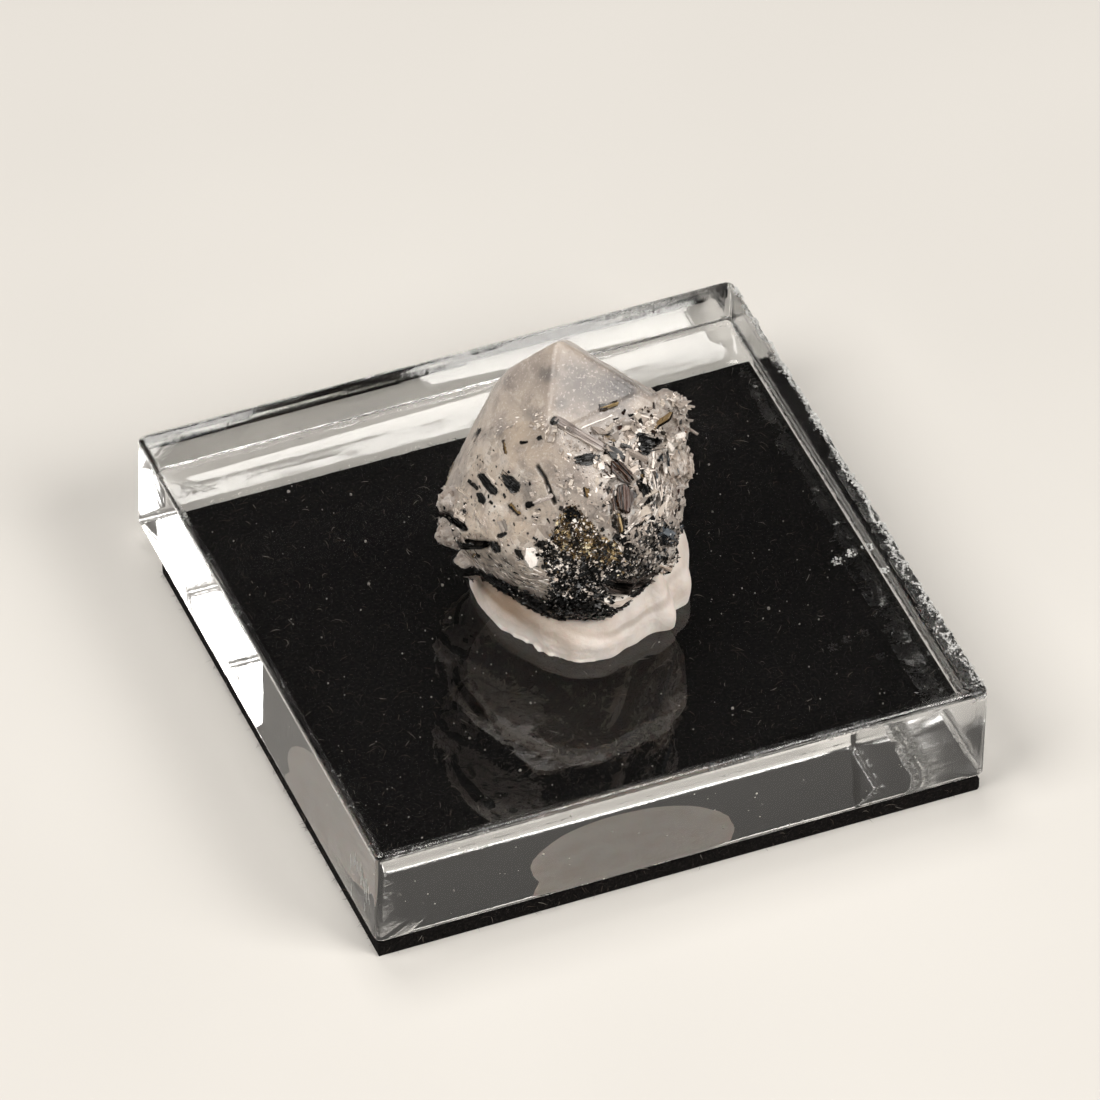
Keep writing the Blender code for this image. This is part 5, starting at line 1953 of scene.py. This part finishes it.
@dataclass
class ShardGround:
    """Shards strewn over the broken parts of the crystal."""

    form: CrystalForm
    seed: int = 33

    def build(self) -> list[Piece]:
        """Make one joined mesh for each kind of mineral, out of all its fields."""
        gathered = {}
        for order, area in enumerate(SHARD_FIELDS):
            source = np.random.default_rng(self.seed + order)
            pixels = self.sample(area, source)
            directions, _ = self.form.meet(pixels)
            if area.hidden_count:
                turned = facing(source.uniform(*area.hidden_bearings, area.hidden_count),
                                source.uniform(*area.hidden_heights, area.hidden_count))
                found = self.form.surface(turned)
                directions = np.vstack([directions, turned[(found["dark"] + found["gold"]) > 0.5]])
            reach = self.form.surface(directions)["reach"] - area.sink
            places = CRYSTAL_CENTRE + directions * reach[:, None]
            gathered.setdefault(area.kind, []).append(self.strew(area, places, directions, source))
        return [self.join(kind, parts) for kind, parts in gathered.items()]

    def sample(self, area: Shards, source: Draws) -> Array:
        """Random pixels inside a field's outline, each moved a little so that its edge frays."""
        outline = np.array(area.outline, float)
        low, high = outline.min(axis=0), outline.max(axis=0)
        tries = source.uniform(low, high, (area.count * 5, 2))
        kept = tries[inside_outline(tries, outline)][:area.count]
        return kept + source.normal(0.0, area.fray, kept.shape)

    def strew(
        self, area: Shards, places: Array, outward: Array, source: Draws
    ) -> tuple[Array, Array, Array]:
        """Uneven plates at the places, leaning at random off the surface.

        Args:
            area: the field.
            places: (K, 3), mm.
            outward: unit directions out of the crystal, (K, 3).
            source: random numbers.

        Returns:
            Points, faces and tones of all its shards.
        """
        count = len(places)
        lean = unit(outward + source.normal(0.0, area.lean, (count, 3)))
        right, up, _ = self.form.camera.axes()
        heading = math.radians(area.heading)
        spins = np.radians(90.0 + area.spread * source.uniform(-1.0, 1.0, count))
        axes = frames_on(lean, spins, math.cos(heading) * right + math.sin(heading) * up)
        low, high = area.size
        half = low + (high - low) * source.uniform(size=count) ** 2
        wide = half * area.slender * source.uniform(0.7, 1.4, count)
        thick = wide * area.flat * source.uniform(0.6, 1.4, count)
        shape, faces = uneven_cube(source, count)
        shape[:, 1::2, 1:] *= source.uniform(0.15, 1.0, (count, 1, 1))
        points, made = copies(shape, faces, axes * np.column_stack([half, wide, thick])[:, :, None], places)
        clumps = 0.5 + 0.9 * value_noise(places, 0.4, 91)
        tone = np.clip(0.6 * source.uniform(size=count) + 0.4 * clumps, 0.0, 0.999)
        return points, made[0], np.repeat(tone, 8)

    def join(self, kind: MicaKind, parts: list[tuple[Array, Array, Array]]) -> Piece:
        """One mesh out of several fields' points, faces and tones."""
        shifts = np.cumsum([0] + [len(points) for points, _, _ in parts])
        faces = np.vstack([made + shift for (_, made, _), shift in zip(parts, shifts)])
        points = np.vstack([part[0] for part in parts])
        finish = CleavedFinish(kind, roughness=0.2, seen=0.25 if kind is MicaKind.GREY else 0.0).make()
        piece = place_mesh(f"{kind.name.lower()}_shards", points, [faces], finish, smooth=False)
        paint(piece, "tone", np.concatenate([part[2] for part in parts]))
        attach(piece, BODY)
        return piece


@dataclass
class MicaBand:
    """The black sheaf of mica round the crystal's foot: azimuth, elevation and half height, mm."""

    form: CrystalForm
    route: tuple[tuple[float, float, float], ...] = (
        (-75, -24, 0.14), (-62, -29, 0.24), (-50, -33, 0.38), (-42, -35, 0.44), (-30, -38, 0.52),
        (-19, -39, 0.52), (-6, -39, 0.42), (5, -38, 0.3), (15, -37, 0.22), (30, -36, 0.16), (50, -36, 0.13),
        (66, -35, 0.13), (78, -27, 0.13), (90, -22, 0.14), (120, -28, 0.2), (180, -34, 0.3),
        (220, -31, 0.25), (260, -26, 0.15),
    )
    along: int = 900
    across: int = 28
    reach: float = 6.0
    sheet_pitch: float = 0.11
    sheet_depth: float = 0.03
    roughness: float = 0.06

    def build(self) -> Piece:
        """Carry a layered lens round the foot and close it into a ring.

        At azimuth a and section angle q the point lies on the skin at elevation e(a) plus
        h(a) sin(q), pushed out by depth * cos(q) and by ridges that run with the sheets.
        """
        azimuth = 360.0 * np.arange(self.along) / self.along - 75.0
        middle = round_trip(self.route, azimuth)
        half = round_trip(self.route, azimuth, 2)
        wobble = fractal_noise(facing(azimuth, 0 * azimuth) * 5.0, 0.8, 83)
        middle = middle + 1.2 * wobble
        section = 2.0 * math.pi * np.arange(self.across) / self.across
        tall = np.degrees(half / self.reach)[:, None] * np.sin(section)[None]
        directions = facing(azimuth[:, None] + 0 * tall, middle[:, None] + tall)
        flat = directions.reshape(-1, 3)
        reach = self.form.surface(flat)["reach"].reshape(tall.shape)
        sheets = np.sin(2.0 * math.pi * half[:, None] * np.sin(section)[None] / self.sheet_pitch)
        rough = fractal_noise(flat * self.reach, 0.5, 87).reshape(tall.shape)
        out = (0.35 * half[:, None] + 0.06) * np.cos(section)[None]
        out = out + (self.sheet_depth * sheets + self.roughness * rough)
        places = CRYSTAL_CENTRE + directions * (reach + out)[..., None]
        points = places.reshape(-1, 3)
        quads = np.roll(sheet_faces(self.along, self.across, ring=True)[:, ::-1], 1, axis=1)
        finish = CleavedFinish(MicaKind.BLACK, roughness=0.4, gloss=0.12, pitch=0.2).make()
        piece = place_mesh("mica_band", points, [quads], finish)
        tone = 0.9 * lattice_value(np.floor(points / 0.3).astype(np.int64), 5)
        paint(piece, "tone", tone)
        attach(piece, BODY)
        return piece


def main() -> None:
    """Build the studio, then each part of the specimen from the ground up."""
    logging.basicConfig(level=logging.INFO, format="%(message)s")
    camera = PhotoCamera()
    camera.build()
    Studio().build()
    form = CrystalForm(camera)
    made = FeltPad().build()
    made += AcrylicSquare(camera).build()
    made.append(PuttySeat(form).build())
    made.append(PhenakiteCrystal(form).build())
    made.append(MicaBand(form).build())
    made += Inclusions(form).build()
    made += ShardGround(form).build()
    for piece in made:
        LOG.info("%s: %d faces", piece.name, len(piece.data.polygons))


if __name__ == "__main__":
    main()
